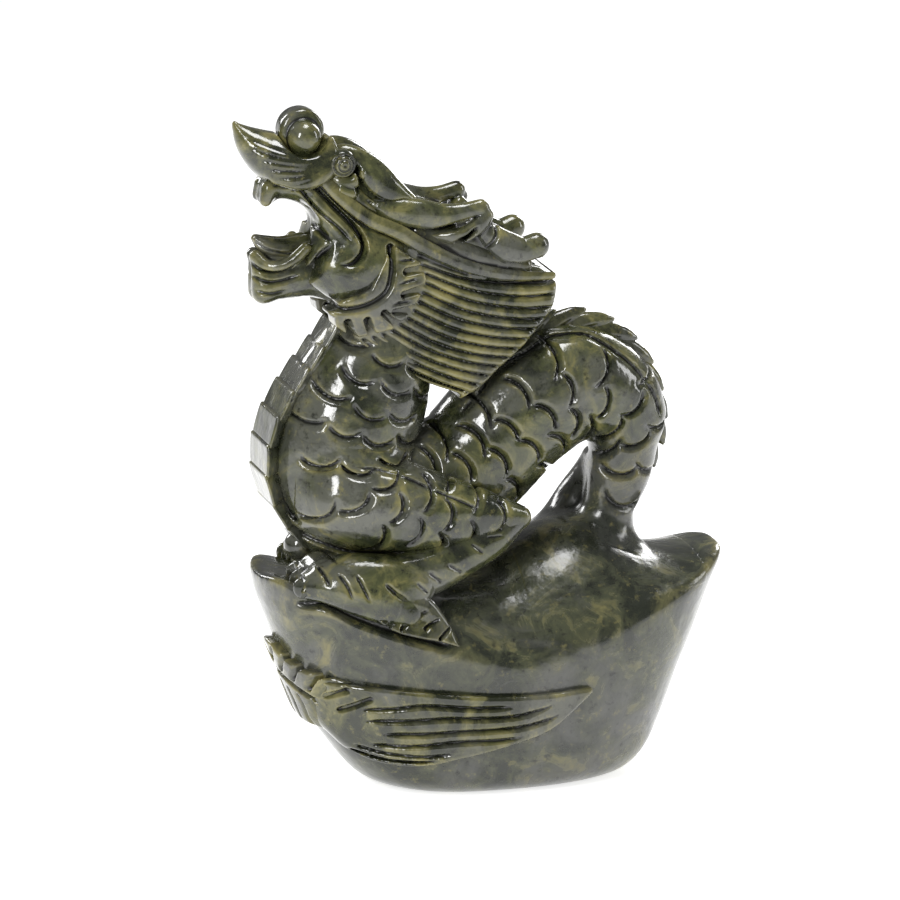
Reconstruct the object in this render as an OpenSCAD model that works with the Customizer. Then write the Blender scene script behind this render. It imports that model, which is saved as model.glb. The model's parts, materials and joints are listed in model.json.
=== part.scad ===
// Carved stone dragon on a boat-shaped ingot, for a shelf or a desk.
// The row frame is +Z up, +X towards the tail and -X towards the face, with
// the origin at the middle of the flat foot. Near is -Y and far is +Y.

/* [Figure] */
// Height from the foot to the top of the nose curl; everything scales with it
figure_h = 270; // [200:5:340]

/* [Ingot] */
// Length over the two raised tips
ingot_l = 184; // [176:1:190]
// Depth over the two long rims
ingot_d = 94; // [88:1:98]
// Length of the flat foot
foot_l = 100; // [94:1:106]
// Depth of the flat foot
foot_d = 66; // [60:1:70]
// Height of the two tips
tip_h = 87; // [84:0.5:89]
// Height of the rims at the middle
rim_h = 56; // [52:1:60]
// Height of the mound over the ridge, under the tail
mound_h = 17; // [12:0.5:18]
// Radius of the rounded edge round the foot
foot_r = 8; // [5:0.5:10]
// How far the carved wings stand out of the wall
relief_h = 3.5; // [2:0.5:4]

/* [Dragon] */
// Half the depth of the chest, front to back through the figure
chest_y = 27; // [24:0.5:29]
// Half the depth of the rear body at its thickest
rear_y = 23; // [20:0.5:25]
// Number of fins along the arch of the back
fins = 11; // [7:1:14]
// Number of plates down the front of the chest
plates = 8; // [6:1:10]
// Number of toes on each foot
toes = 4; // [3:1:4]
// Half the width of the head over the cheeks
head_y = 19; // [17:0.5:21]
// Number of locks carved on each wing of the ingot
wing_locks = 6; // [4:1:7]
// Radius of the pearl held under the near claw
pearl_r = 6.5; // [5:0.5:7]

/* [Hidden] */

drawn_h = 270;              // the height that the points below are drawn at
k = figure_h / drawn_h;
jade = [0.36, 0.37, 0.24];
jade_dark = [0.28, 0.29, 0.20];
jade_light = [0.44, 0.43, 0.27];
eps = 0.01;

// ---- ingot ----
oval_n = 2.3;               // exponent of the ingot's oval outline
rim_power = 1.3;            // how the rim climbs towards the tips
flare_x = (ingot_l - foot_l - 2 * foot_r) / 2 / tip_h;
flare_y = (ingot_d - foot_d - 2 * foot_r) / 2 / rim_h;
steps = 48;                 // points round the outline
edge_steps = 3;
wall_steps = 3;
top_steps = 6;
mound_x = 27;               // middle of the mound under the tail
mound_w = 28;
ingot_x = -2;               // middle of the ingot in the dragon's points
seat_x = -40;               // middle of the low rise under the chest
seat_w = 30;
seat_h = 6;

function signed_power(v, p) = sign(v) * pow(abs(v), p);
function oval_x(t) = signed_power(cos(t), 2 / oval_n);
function oval_y(t) = signed_power(sin(t), 2 / oval_n);
function half_l(z) = foot_l / 2 + foot_r + flare_x * z;
function half_d(z) = foot_d / 2 + foot_r + flare_y * z;
function bell(x, middle, width) = exp(-pow((x - middle) / width, 2));
// Height of the rim and of the top along the middle, at a length x
function rim_z(x) = rim_h + (tip_h - rim_h) * pow(min(1, abs(x) / (ingot_l / 2)), rim_power);
function ridge_z(x) = tip_h - 4 + 5 * pow(abs(x) / (ingot_l / 2), 4)
    + mound_h * bell(x, mound_x, mound_w) + seat_h * bell(x, seat_x, seat_w);
// Distance of the long wall from the middle, at a length x and a height z
function wall_y(x, z) = half_d(z)
    * pow(max(0, 1 - pow(min(1, abs(x) / half_l(z)), oval_n)), 1 / oval_n);
function top_z(x, y) = let (edge = max(1, wall_y(x, rim_z(x))), t = min(1, abs(y) / edge))
    rim_z(x) + (ridge_z(x) - rim_z(x)) * (1 - t * t);

function edge_ring(i) = let (a = 90 * i / edge_steps)
    [for (s = [0:steps - 1]) let (t = 360 * s / steps)
        [oval_x(t) * (foot_l / 2 + foot_r * sin(a)),
         oval_y(t) * (foot_d / 2 + foot_r * sin(a)), foot_r * (1 - cos(a))]];
function wall_ring(i) = [for (s = [0:steps - 1])
    let (t = 360 * s / steps, up = rim_z(oval_x(t) * ingot_l / 2),
         z = foot_r + (up - foot_r) * i / wall_steps)
        [oval_x(t) * half_l(z), oval_y(t) * half_d(z), z]];
function top_ring(i) = let (f = 1 - i / top_steps)
    [for (p = wall_ring(wall_steps)) let (x = p[0] * f, y = p[1] * f) [x, y, top_z(x, y)]];

module ingot_shape() {
    rings = concat([for (i = [0:edge_steps]) edge_ring(i)],
        [for (i = [1:wall_steps]) wall_ring(i)],
        [for (i = [1:top_steps - 1]) top_ring(i)]);
    n = len(rings);
    points = concat([for (r = rings) each r], [[0, 0, 0], [0, 0, top_z(0, 0)]]);
    sides = [for (r = [0:n - 2], s = [0:steps - 1], half = [0, 1])
        let (a = r * steps + s, b = r * steps + (s + 1) % steps)
            half == 0 ? [a, a + steps, b] : [b, a + steps, b + steps]];
    foot = [for (s = [0:steps - 1]) [n * steps, s, (s + 1) % steps]];
    crown = [for (s = [0:steps - 1])
        [n * steps + 1, (n - 1) * steps + (s + 1) % steps, (n - 1) * steps + s]];
    polyhedron(points, concat(sides, foot, crown));
}

module ingot_solid() translate([ingot_x, 0, 0]) ingot_shape();

module ingot_base() color(jade_dark) ingot_solid();

// ---- carving tools ----
module blob(p, r, flat = 1, facets = 12) translate(p) scale([r, r * flat, r]) sphere(r = 1, $fn = facets);

// A lobe that runs through points [x, y, z, radius], each hulled to the next;
// flat is its depth over its width
module lobe(run, flat = 1, facets = 12) for (i = [0:len(run) - 2]) hull() {
    blob([run[i][0], run[i][1], run[i][2]], run[i][3], flat, facets);
    blob([run[i + 1][0], run[i + 1][1], run[i + 1][2]], run[i + 1][3], flat, facets);
}

// A point on a run, where at goes from 0 to its last index
function along(run, at) = let (i = min(floor(at), len(run) - 2), f = at - i)
    run[i] * (1 - f) + run[i + 1] * f;

module far() mirror([0, 1, 0]) children();

// A point on the ingot's near wall, raised by lift
function on_wall(x, z, lift) = [x, -wall_y(x, z) - lift, z];

// ---- reliefs on the ingot ----
wing_root = [-66, 33];      // x and z of the root
wing_tip = [21, 42];        // x and z of the tip
wing_low = -21;             // how far the lowest lock hangs under the root
wing_points = 6;
wing_r = 3.6;

function wing_lock(j) = let (share = j / (wing_locks - 1))
    [for (i = [0:wing_points - 1]) let (u = i / (wing_points - 1),
        x = wing_root[0] + (wing_tip[0] - wing_root[0]) * u * (1 - 0.12 * share),
        z = wing_root[1] + (wing_tip[1] - wing_root[1]) * u + 11 * (1 - share) * (1 - u)
            + wing_low * share * sin(180 * pow(u, 0.75)) + 3 * sin(180 * u) * (1 - share),
        p = on_wall(x, z, 0))
        [p[0], p[1] + wing_r - relief_h, p[2], wing_r * (1 - 0.45 * u)]];

module wing_relief() color(jade_light) translate([ingot_x, 0, 0]) difference() {
    for (j = [0:wing_locks - 1]) lobe(wing_lock(j), facets = 8);
    ingot_shape();
}

// Feathers that wrap round the face end of the ingot, under the rim: each
// starts at an angle round the outline and slants down as it goes back
tuft_starts = [[152, 54], [161, 62], [172, 50], [180, 63], [188, 50], [199, 62], [208, 54]];
tuft_drop = 13;
tuft_turn = 7;
module end_tufts() color(jade_light) translate([ingot_x, 0, 0]) difference() {
    for (f = tuft_starts) lobe([for (i = [0:2])
        let (z = f[1] - tuft_drop * i, turn = f[0] - tuft_turn * i * sign(180 - f[0]))
            [oval_x(turn) * (half_l(z) + 1), oval_y(turn) * (half_d(z) - 1), z, 5.5 - 1.2 * i]],
        facets = 8);
    ingot_shape();
}

// ---- body ----
chest_run = [[-43, 0, 196, 17], [-46, 0, 182, 19], [-54, 0, 160, 26], [-62, 0, 141, 29],
    [-64, 0, 122, 28], [-58, 0, 108, 24]];
rear_run = [[-46, 0, 112, 23], [-28, 0, 118, 24.5], [-12, 0, 125, 24.5], [4, 0, 142, 25],
    [17, 0, 151, 25], [30, 0, 155, 23.5], [43, 0, 151, 20], [52, 0, 141, 16]];
tail_run = [[53, 0, 140, 15], [54, 0, 127, 13.5], [49, 0, 112, 13], [42, 0, 101, 15], [36, 0, 92, 19]];
// The far side of the tail flares towards the middle as it goes down
strut_run = [[52, 6, 128, 9], [47, 11, 114, 9], [39, 15, 100, 10], [33, 15, 90, 12]];

module chest_mass() lobe(chest_run, chest_y / 29, 20);
module rear_mass() lobe(rear_run, rear_y / 24, 18);
module tail_mass() {
    lobe(tail_run, 0.95);
    lobe(strut_run);
}

module chest() color(jade) difference() {
    chest_mass();
    ingot_solid();
    skull_mass();
}
module rear_body() color(jade) difference() {
    rear_mass();
    chest_mass();
    ingot_solid();
}
module tail_root() color(jade_dark) difference() {
    tail_mass();
    rear_mass();
    ingot_solid();
}

// Plates down the front of the chest, on an arc that follows it
plate_run = [[-61, 0, 183], [-72, 0, 171], [-83, 0, 157], [-91, 0, 141], [-90.5, 0, 124], [-81, 0, 106]];
plate_t = 4;
plate_y = 9;
module belly_plates() color(jade_light) difference() {
    for (i = [0:plates - 1]) let (reach = len(plate_run) - 1,
        a = along(plate_run, reach * i / plates),
        b = along(plate_run, reach * (i + 0.95) / plates))
        hull() for (side = [-1, 1]) {
            blob([a[0] + 1.6, side * plate_y, a[2]], plate_t - 1, 1, 8);
            blob([b[0] + 0.6, side * plate_y, b[2]], plate_t, 1, 8);
            blob([b[0] - 0.8, side * plate_y / 3, b[2]], plate_t, 1, 8);
        }
    chest_mass();
    ingot_solid();
    skull_mass();
}

// Fins along the outside of the arch: [x, z, heading of the tip]
fin_run = [[6, 173, 66], [16, 177, 56], [26, 179, 46], [38, 177.5, 36], [49, 171, 22],
    [58, 162, 8], [64, 151, -6], [66, 139, -24]];
fin_l = 10.5;
module dorsal_fins() color(jade_light) difference() {
    for (i = [0:fins - 1]) let (f = along(fin_run, (len(fin_run) - 1) * i / (fins - 1)),
        way = [cos(f[2]), 0, sin(f[2])], back = [-sin(f[2]), 0, cos(f[2])],
        base = [f[0], 0, f[1]] - 4 * way)
        hull() {
            blob(base + 4 * back, 3, 1.2, 8);
            blob(base - 4 * back, 2.6, 1.2, 8);
            blob(base + fin_l * way - 3.5 * back, 1.2, 1, 8);
        }
    rear_mass();
    tail_mass();
}

// ---- legs ----
thigh_run = [[-60, -22, 117, 17], [-44, -26, 117, 16], [-27, -28, 114, 13], [-12, -29, 111.5, 9],
    [0, -29, 109.5, 5.5]];
shin_run = [[-3, -29, 106.5, 6], [-16, -30, 100, 8.5], [-32, -32, 94, 9.5], [-46, -33, 90, 9.5]];
foot_run = [[-46, -33, 88, 9.5], [-58, -32, 88, 10.5], [-68, -29, 90, 10]];
tuft_runs = [[[-46, -37, 86, 5], [-38, -41, 77, 3.6], [-31, -43, 67, 1.2]],
    [[-52, -37, 84, 5], [-47, -41, 76, 3.4], [-41, -43, 68, 1.2]],
    [[-42, -36, 90, 4.5], [-33, -39, 83, 3.2], [-24, -41, 73, 1.2]]];
toe_first = [-79, -33, 82];
toe_last = [-83, -12, 90];
toe_root = [-66, -26, 90];

function toe_at(i) = toe_first + (toe_last - toe_first) * i / (toes - 1);

module thigh_mass() lobe(thigh_run, 0.85);
module shin_mass() lobe(shin_run, 0.9);
module foot_mass() {
    lobe(foot_run, 0.9);
    for (i = [0:toes - 1]) let (p = toe_at(i))
        lobe([[for (c = toe_root) c, 7], [for (c = (toe_root + p) / 2 + [0, 0, 2]) c, 5.2],
            [for (c = p) c, 4]], facets = 8);
}

module thigh() color(jade) difference() {
    thigh_mass();
    chest_mass();
    rear_mass();
    ingot_solid();
}
module shin() color(jade) difference() {
    shin_mass();
    thigh_mass();
    chest_mass();
    rear_mass();
    ingot_solid();
}
module foot() color(jade) difference() {
    foot_mass();
    shin_mass();
    thigh_mass();
    chest_mass();
    ingot_solid();
    pearl_ball(0.1);
}
module elbow_tuft() color(jade_light) difference() {
    for (run = tuft_runs) lobe(run, 0.7, 10);
    foot_mass();
    shin_mass();
    ingot_solid();
    chest_mass();
    thigh_mass();
}
module claws() color(jade_light) difference() {
    for (i = [0:toes - 1]) let (p = toe_at(i))
        lobe([[for (c = p + [-1, 0, 2]) c, 2.8], [for (c = p + [-4, -1, 0]) c, 2.2],
            [for (c = p + [-6, -2, -4]) c, 0.9]], facets = 8);
    foot_mass();
    ingot_solid();
    pearl_ball(0.1);
}

pearl_at = [-81, -4, 98];
module pearl_ball(gap = 0) translate(pearl_at) sphere(r = pearl_r + gap, $fn = 32);
module pearl() color(jade_light) pearl_ball();

// ---- head ----
skull_run = [[-40, 0, 206, 19], [-50, 0, 220, 19], [-58, 0, 232, 16], [-70, 0, 240, 12], [-80, 0, 243, 9]];
cheek_run = [[-52, -6, 210, 14], [-65, -7, 208, 12], [-67, -5, 222, 9]];
lip_run = [[-82, 0, 243, 8], [-89, 0, 240, 5.5], [-92, 0, 234, 3]];
jaw_run = [[-66, 0, 202, 10], [-78, 0, 204, 8], [-86, 0, 203.5, 8], [-91, 0, 202.5, 8]];
tongue_run = [[-72, 0, 212.5, 4], [-80, 0, 214, 4], [-88, 0, 215.5, 4], [-93, 0, 218, 3]];
shell_run = [[-74, 0, 252, 10], [-84, 0, 251, 9.5], [-94, 0, 254, 7], [-102, 0, 263, 1.8]];
curl_run = [[-76, 0, 260.5, 9.5], [-81, 0, 260.5, 9.5]];
eye_at = [-64, -12, 249];
eye_r = 5.2;
brow_run = [[-68, -9, 252, 3], [-63, -9, 254, 3.5], [-56, -10, 250, 4.5], [-49, -11, 243, 5],
    [-42, -12, 236, 5]];

module skull_mass() {
    lobe(skull_run, head_y / 20);
    lobe(cheek_run, 0.95);
    far() lobe(cheek_run, 0.95);
    lobe(lip_run, 1.2, 10);
}
module jaw_mass() lobe(jaw_run, 1.25);
module tongue_mass() lobe(tongue_run, 1.3, 10);
module shell_mass() lobe(shell_run, 1.4);
module curl_mass() lobe(curl_run, 1.3);
module eye_ball(gap = 0) translate(eye_at) sphere(r = eye_r + gap, $fn = 32);

module skull() color(jade) difference() {
    skull_mass();
    eye_ball(0.1);
    far() eye_ball(0.1);
}
module lower_jaw() color(jade) difference() {
    jaw_mass();
    skull_mass();
    chest_mass();
}
module tongue() color(jade_light) difference() {
    tongue_mass();
    jaw_mass();
    skull_mass();
}
module nose_shell() color(jade_light) difference() {
    shell_mass();
    skull_mass();
}
module nose_curl() color(jade) difference() {
    curl_mass();
    shell_mass();
    skull_mass();
    eye_ball(0.1);
    far() eye_ball(0.1);
}
module eye() color(jade_light) difference() {
    eye_ball();
}
module brow_mass() lobe(brow_run, 0.8, 10);
module brow() color(jade) difference() {
    brow_mass();
    skull_mass();
    eye_ball(0.1);
    shell_mass();
    curl_mass();
}

// ---- mane, horns and frill ----
mane_runs = [[[-46, -9, 214, 12], [-22, -11, 206, 12], [11, -10, 197, 10]],
    [[-44, -12, 203, 12], [-22, -15, 194, 12], [9, -12, 186, 9]],
    [[-48, -15, 193, 11], [-28, -17, 183, 11], [-4, -14, 177, 8]],
    [[-56, -16, 186, 9], [-38, -18, 174, 9], [-22, -16, 168, 8]]];
horn_runs = [[[-46, -10, 235, 6.5], [-34, -11, 227, 7], [-20, -12, 225, 6.5], [-12, -13, 230, 4.5]],
    [[-34, -13, 224, 7], [-18, -14, 215, 7.5], [-2, -15, 211, 7], [10, -15, 213, 5.5]]];
frill_tips = [[-41, -23, 206], [-41, -24, 198], [-45, -24, 191], [-53, -23, 186], [-62, -20, 184]];
frill_root = [-54, -14, 203];

module mane_mass() {
    for (i = [0:2], s = [0:1]) hull() for (run = [mane_runs[i], mane_runs[i + 1]], e = [s, s + 1])
        blob([run[e][0], run[e][1], run[e][2]], run[e][3], 0.9, 12);
}
module horn_mass() for (run = horn_runs) lobe(run, 0.75, 12);
module frill_mass() for (p = frill_tips)
    lobe([[for (c = frill_root) c, 5],
        [for (c = (frill_root + p) / 2 + [0, -3, 0]) c, 4.5], [for (c = p) c, 1.6]], 0.9, 10);

module half_space() translate([-200, -200 - eps, 0]) cube([400, 200, 400]);

module mane() color(jade_light) intersection() {
    difference() {
        mane_mass();
        skull_mass();
        chest_mass();
        rear_mass();
    }
    half_space();
}
module horns() color(jade) intersection() {
    difference() {
        horn_mass();
        skull_mass();
        brow_mass();
        mane_mass();
    }
    half_space();
}
module cheek_frill() color(jade_light) difference() {
    frill_mass();
    skull_mass();
    mane_mass();
    chest_mass();
    jaw_mass();
}

// Moves the middle of the ingot's foot to the origin
module figure() scale(k) translate([-ingot_x, 0, 0]) children();

figure() ingot_base();
figure() wing_relief();  // near_wing_relief
figure() far() wing_relief();  // far_wing_relief
figure() end_tufts();
figure() chest();
figure() belly_plates();
figure() rear_body();
figure() tail_root();
figure() dorsal_fins();
figure() thigh();  // near_thigh
figure() far() thigh();  // far_thigh
figure() shin();  // near_shin
figure() far() shin();  // far_shin
figure() elbow_tuft();  // near_elbow_tuft
figure() far() elbow_tuft();  // far_elbow_tuft
figure() foot();  // near_foot
figure() far() foot();  // far_foot
figure() claws();  // near_claws
figure() far() claws();  // far_claws
figure() pearl();
figure() skull();
figure() lower_jaw();
figure() tongue();
figure() nose_shell();
figure() nose_curl();
figure() eye();  // near_eye
figure() far() eye();  // far_eye
figure() brow();  // near_brow
figure() far() brow();  // far_brow
figure() mane();  // near_mane
figure() far() mane();  // far_mane
figure() horns();  // near_horns
figure() far() horns();  // far_horns
figure() cheek_frill();  // near_cheek_frill
figure() far() cheek_frill();  // far_cheek_frill
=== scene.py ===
# %% [markdown]
# This lesson gives a carved stone figure its looks. The CAD model has the
# masses and the frame that every program shares, so it is loaded first, and
# each piece made below takes the place of the CAD node that it is named after.

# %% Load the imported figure
import json
import math
import bpy
import numpy as np
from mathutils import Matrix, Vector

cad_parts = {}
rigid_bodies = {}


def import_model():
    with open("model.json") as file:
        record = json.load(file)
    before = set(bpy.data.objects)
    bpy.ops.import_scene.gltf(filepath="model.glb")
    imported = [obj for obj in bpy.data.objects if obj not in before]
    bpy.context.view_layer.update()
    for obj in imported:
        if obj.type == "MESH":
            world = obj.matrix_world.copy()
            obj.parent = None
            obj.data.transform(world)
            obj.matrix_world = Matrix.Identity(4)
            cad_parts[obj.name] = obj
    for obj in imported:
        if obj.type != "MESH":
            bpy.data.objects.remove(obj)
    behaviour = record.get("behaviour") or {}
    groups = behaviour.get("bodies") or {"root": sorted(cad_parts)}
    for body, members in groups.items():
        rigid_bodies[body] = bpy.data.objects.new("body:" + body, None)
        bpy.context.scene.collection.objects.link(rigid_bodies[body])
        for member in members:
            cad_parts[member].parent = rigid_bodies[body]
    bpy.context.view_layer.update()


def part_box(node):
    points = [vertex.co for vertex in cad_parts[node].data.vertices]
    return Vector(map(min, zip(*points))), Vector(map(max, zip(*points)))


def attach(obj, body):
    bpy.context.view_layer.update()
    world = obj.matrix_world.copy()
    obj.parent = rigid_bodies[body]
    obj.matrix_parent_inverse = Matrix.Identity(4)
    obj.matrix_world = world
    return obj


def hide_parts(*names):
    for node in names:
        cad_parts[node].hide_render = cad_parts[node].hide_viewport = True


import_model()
import openvdb
from mathutils import Matrix, Vector

MM = 0.001

# %% [markdown]
# The real figure is one block of polished serpentine, carved in the round: a
# scaled dragon that sits on a boat-shaped ingot. Stone has no seams, so its
# surfaces are best thought of as a block from which material is taken away.
# A mesh modeller could push vertices about, but soft swellings that melt into
# each other, with thousands of cuts on them, are easier on a grid that holds
# the distance to the surface at every point: two shapes are joined by taking
# the smaller distance, and a cut is made by adding its depth. The grid is
# turned into a mesh at the end. All the carving is done in millimetres.

# %% Helpers for smooth runs and smooth joining
def smooth_min(a, b, k):
    """The smaller of two distances, with a fillet of about k millimetres."""
    h = np.maximum(k - np.abs(a - b), 0) / k
    return np.minimum(a, b) - h * h * (k / 4)


def smooth_max(a, b, k):
    return -smooth_min(-a, -b, k)


def spline(points, per_span=6):
    """Points along a Catmull-Rom curve through the given ones; every column is carried along."""
    p = np.array(points, float)
    ends = np.vstack([2 * p[0] - p[1], p, 2 * p[-1] - p[-2]])
    out = []
    for i in range(len(p) - 1):
        a, b, c, d = ends[i:i + 4]
        for t in np.arange(per_span) / per_span:
            out.append(0.5 * (2 * b + (c - a) * t + (2 * a - 5 * b + 4 * c - d) * t * t
                              + (3 * b - a - 3 * c + d) * t ** 3))
    return np.array(out + [p[-1]])


def ease(v, low, high):
    t = np.clip((v - low) / (high - low), 0, 1)
    return t * t * (3 - 2 * t)


def bell(v, middle, width):
    return np.exp(-((v - middle) / width) ** 2)


def bilinear(grid, u, v):
    """Reads a 2-D array between its cells."""
    u = np.clip(u, 0, grid.shape[0] - 1.001)
    v = np.clip(v, 0, grid.shape[1] - 1.001)
    i, j = u.astype(int), v.astype(int)
    fu, fv = u - i, v - j
    return ((grid[i, j] * (1 - fv) + grid[i, j + 1] * fv) * (1 - fu)
            + (grid[i + 1, j] * (1 - fv) + grid[i + 1, j + 1] * fv) * fu)


# %% [markdown]
# The carver draws on the side of the block first, and then cuts along the
# drawing. The Sketch below is that drawing: a flat sheet in the plane of the
# figure's length and height, holding the depth of the cut at each point. A
# chisel line is a groove with a V or a round section that fades at its ends,
# and a scale is one blow of a gouge: deep along its curved edge and running
# out to nothing towards the next scale.

# %% The sketch: a sheet of depths
class Sketch:
    def __init__(self, low, high, step=0.3):
        self.low, self.step = np.array(low, float), step
        n = np.ceil((np.array(high) - self.low) / step).astype(int) + 1
        self.depth = np.zeros(n, np.float32)
        self.x = (self.low[0] + np.arange(n[0]) * step).astype(np.float32)
        self.z = (self.low[1] + np.arange(n[1]) * step).astype(np.float32)

    def window(self, x0, x1, z0, z1):
        i0, i1 = np.searchsorted(self.x, [x0, x1])
        j0, j1 = np.searchsorted(self.z, [z0, z1])
        return slice(i0, i1), slice(j0, j1)

    def path_distance(self, path, reach):
        """Distance to a polyline and the share of its length, inside a window round it."""
        low, high = path.min(0) - reach, path.max(0) + reach
        w = self.window(low[0], high[0], low[1], high[1])
        X, Z = self.x[w[0], None], self.z[None, w[1]]
        best = np.full((X.shape[0], Z.shape[1]), 1e6, np.float32)
        share = np.zeros_like(best)
        steps = np.hypot(*np.diff(path, axis=0).T)
        run = np.concatenate([[0], np.cumsum(steps)])
        for (a, b, s0, length) in zip(path[:-1], path[1:], run[:-1], steps):
            if length < 1e-6:
                continue
            t = np.clip(((X - a[0]) * (b[0] - a[0]) + (Z - a[1]) * (b[1] - a[1])) / length ** 2, 0, 1)
            d = np.hypot(X - a[0] - t * (b[0] - a[0]), Z - a[1] - t * (b[1] - a[1]))
            near = d < best
            best = np.where(near, d, best)
            share = np.where(near, (s0 + t * length) / run[-1], share)
        return w, best, share

    def groove(self, points, width, depth, form="vee", fade=(0.12, 0.12)):
        """Cuts along the points; width is the whole width at the surface."""
        path = spline(points, 5) if len(points) > 2 else np.array(points, float)
        half = width / 2
        w, d, share = self.path_distance(path, half + self.step)
        ends = ease(share, 0, fade[0] + 1e-6) * ease(1 - share, 0, fade[1] + 1e-6)
        near = np.clip(1 - d / half / (0.35 + 0.65 * ends), 0, 1)
        if form == "round":
            near = 1 - np.sqrt(np.maximum(0, 1 - near ** 2))
        elif form == "soft":
            near = near * near * (3 - 2 * near)
        cut = depth * near * ends
        self.depth[w] = np.maximum(self.depth[w], cut)

    def scale(self, centre, radius, aim, depth, tail=2.8, spread=68):
        """One gouge cut: deepest just outside an arc of the radius, which faces the aim in degrees."""
        reach = radius + tail
        w = self.window(centre[0] - reach, centre[0] + reach, centre[1] - reach, centre[1] + reach)
        X, Z = self.x[w[0], None] - centre[0], self.z[None, w[1]] - centre[1]
        r = np.hypot(X, Z)
        turn = np.abs((np.degrees(np.arctan2(Z, X)) - aim + 180) % 360 - 180)
        side = ease(spread - turn, 0, 42)
        out, lip = r - radius, 0.45    # the cut is deepest at its lip, just outside the arc
        edge = np.where(out < lip, ease(out, -0.25, lip), (1 - np.clip((out - lip) / tail, 0, 1)) ** 1.4)
        self.depth[w] = np.maximum(self.depth[w], depth * edge * side)

    def at(self, x, z):
        return bilinear(self.depth, (x - self.low[0]) / self.step, (z - self.low[1]) / self.step)


# %% [markdown]
# The Block holds the distances. Lobes are runs of balls whose size changes
# along a smooth curve, as the swelling of a thigh does. A plate is an outline
# in the same plane with a thickness. The block is finished as a mesh of
# four-sided faces with smooth shading, and each vertex remembers how far it
# lies below its surroundings, because the stone's colour paints shade into a
# groove and a highlight on a ridge.

# %% The block: distances on a grid
FAR = 12.0                             # a distance that counts as outside everything


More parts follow.
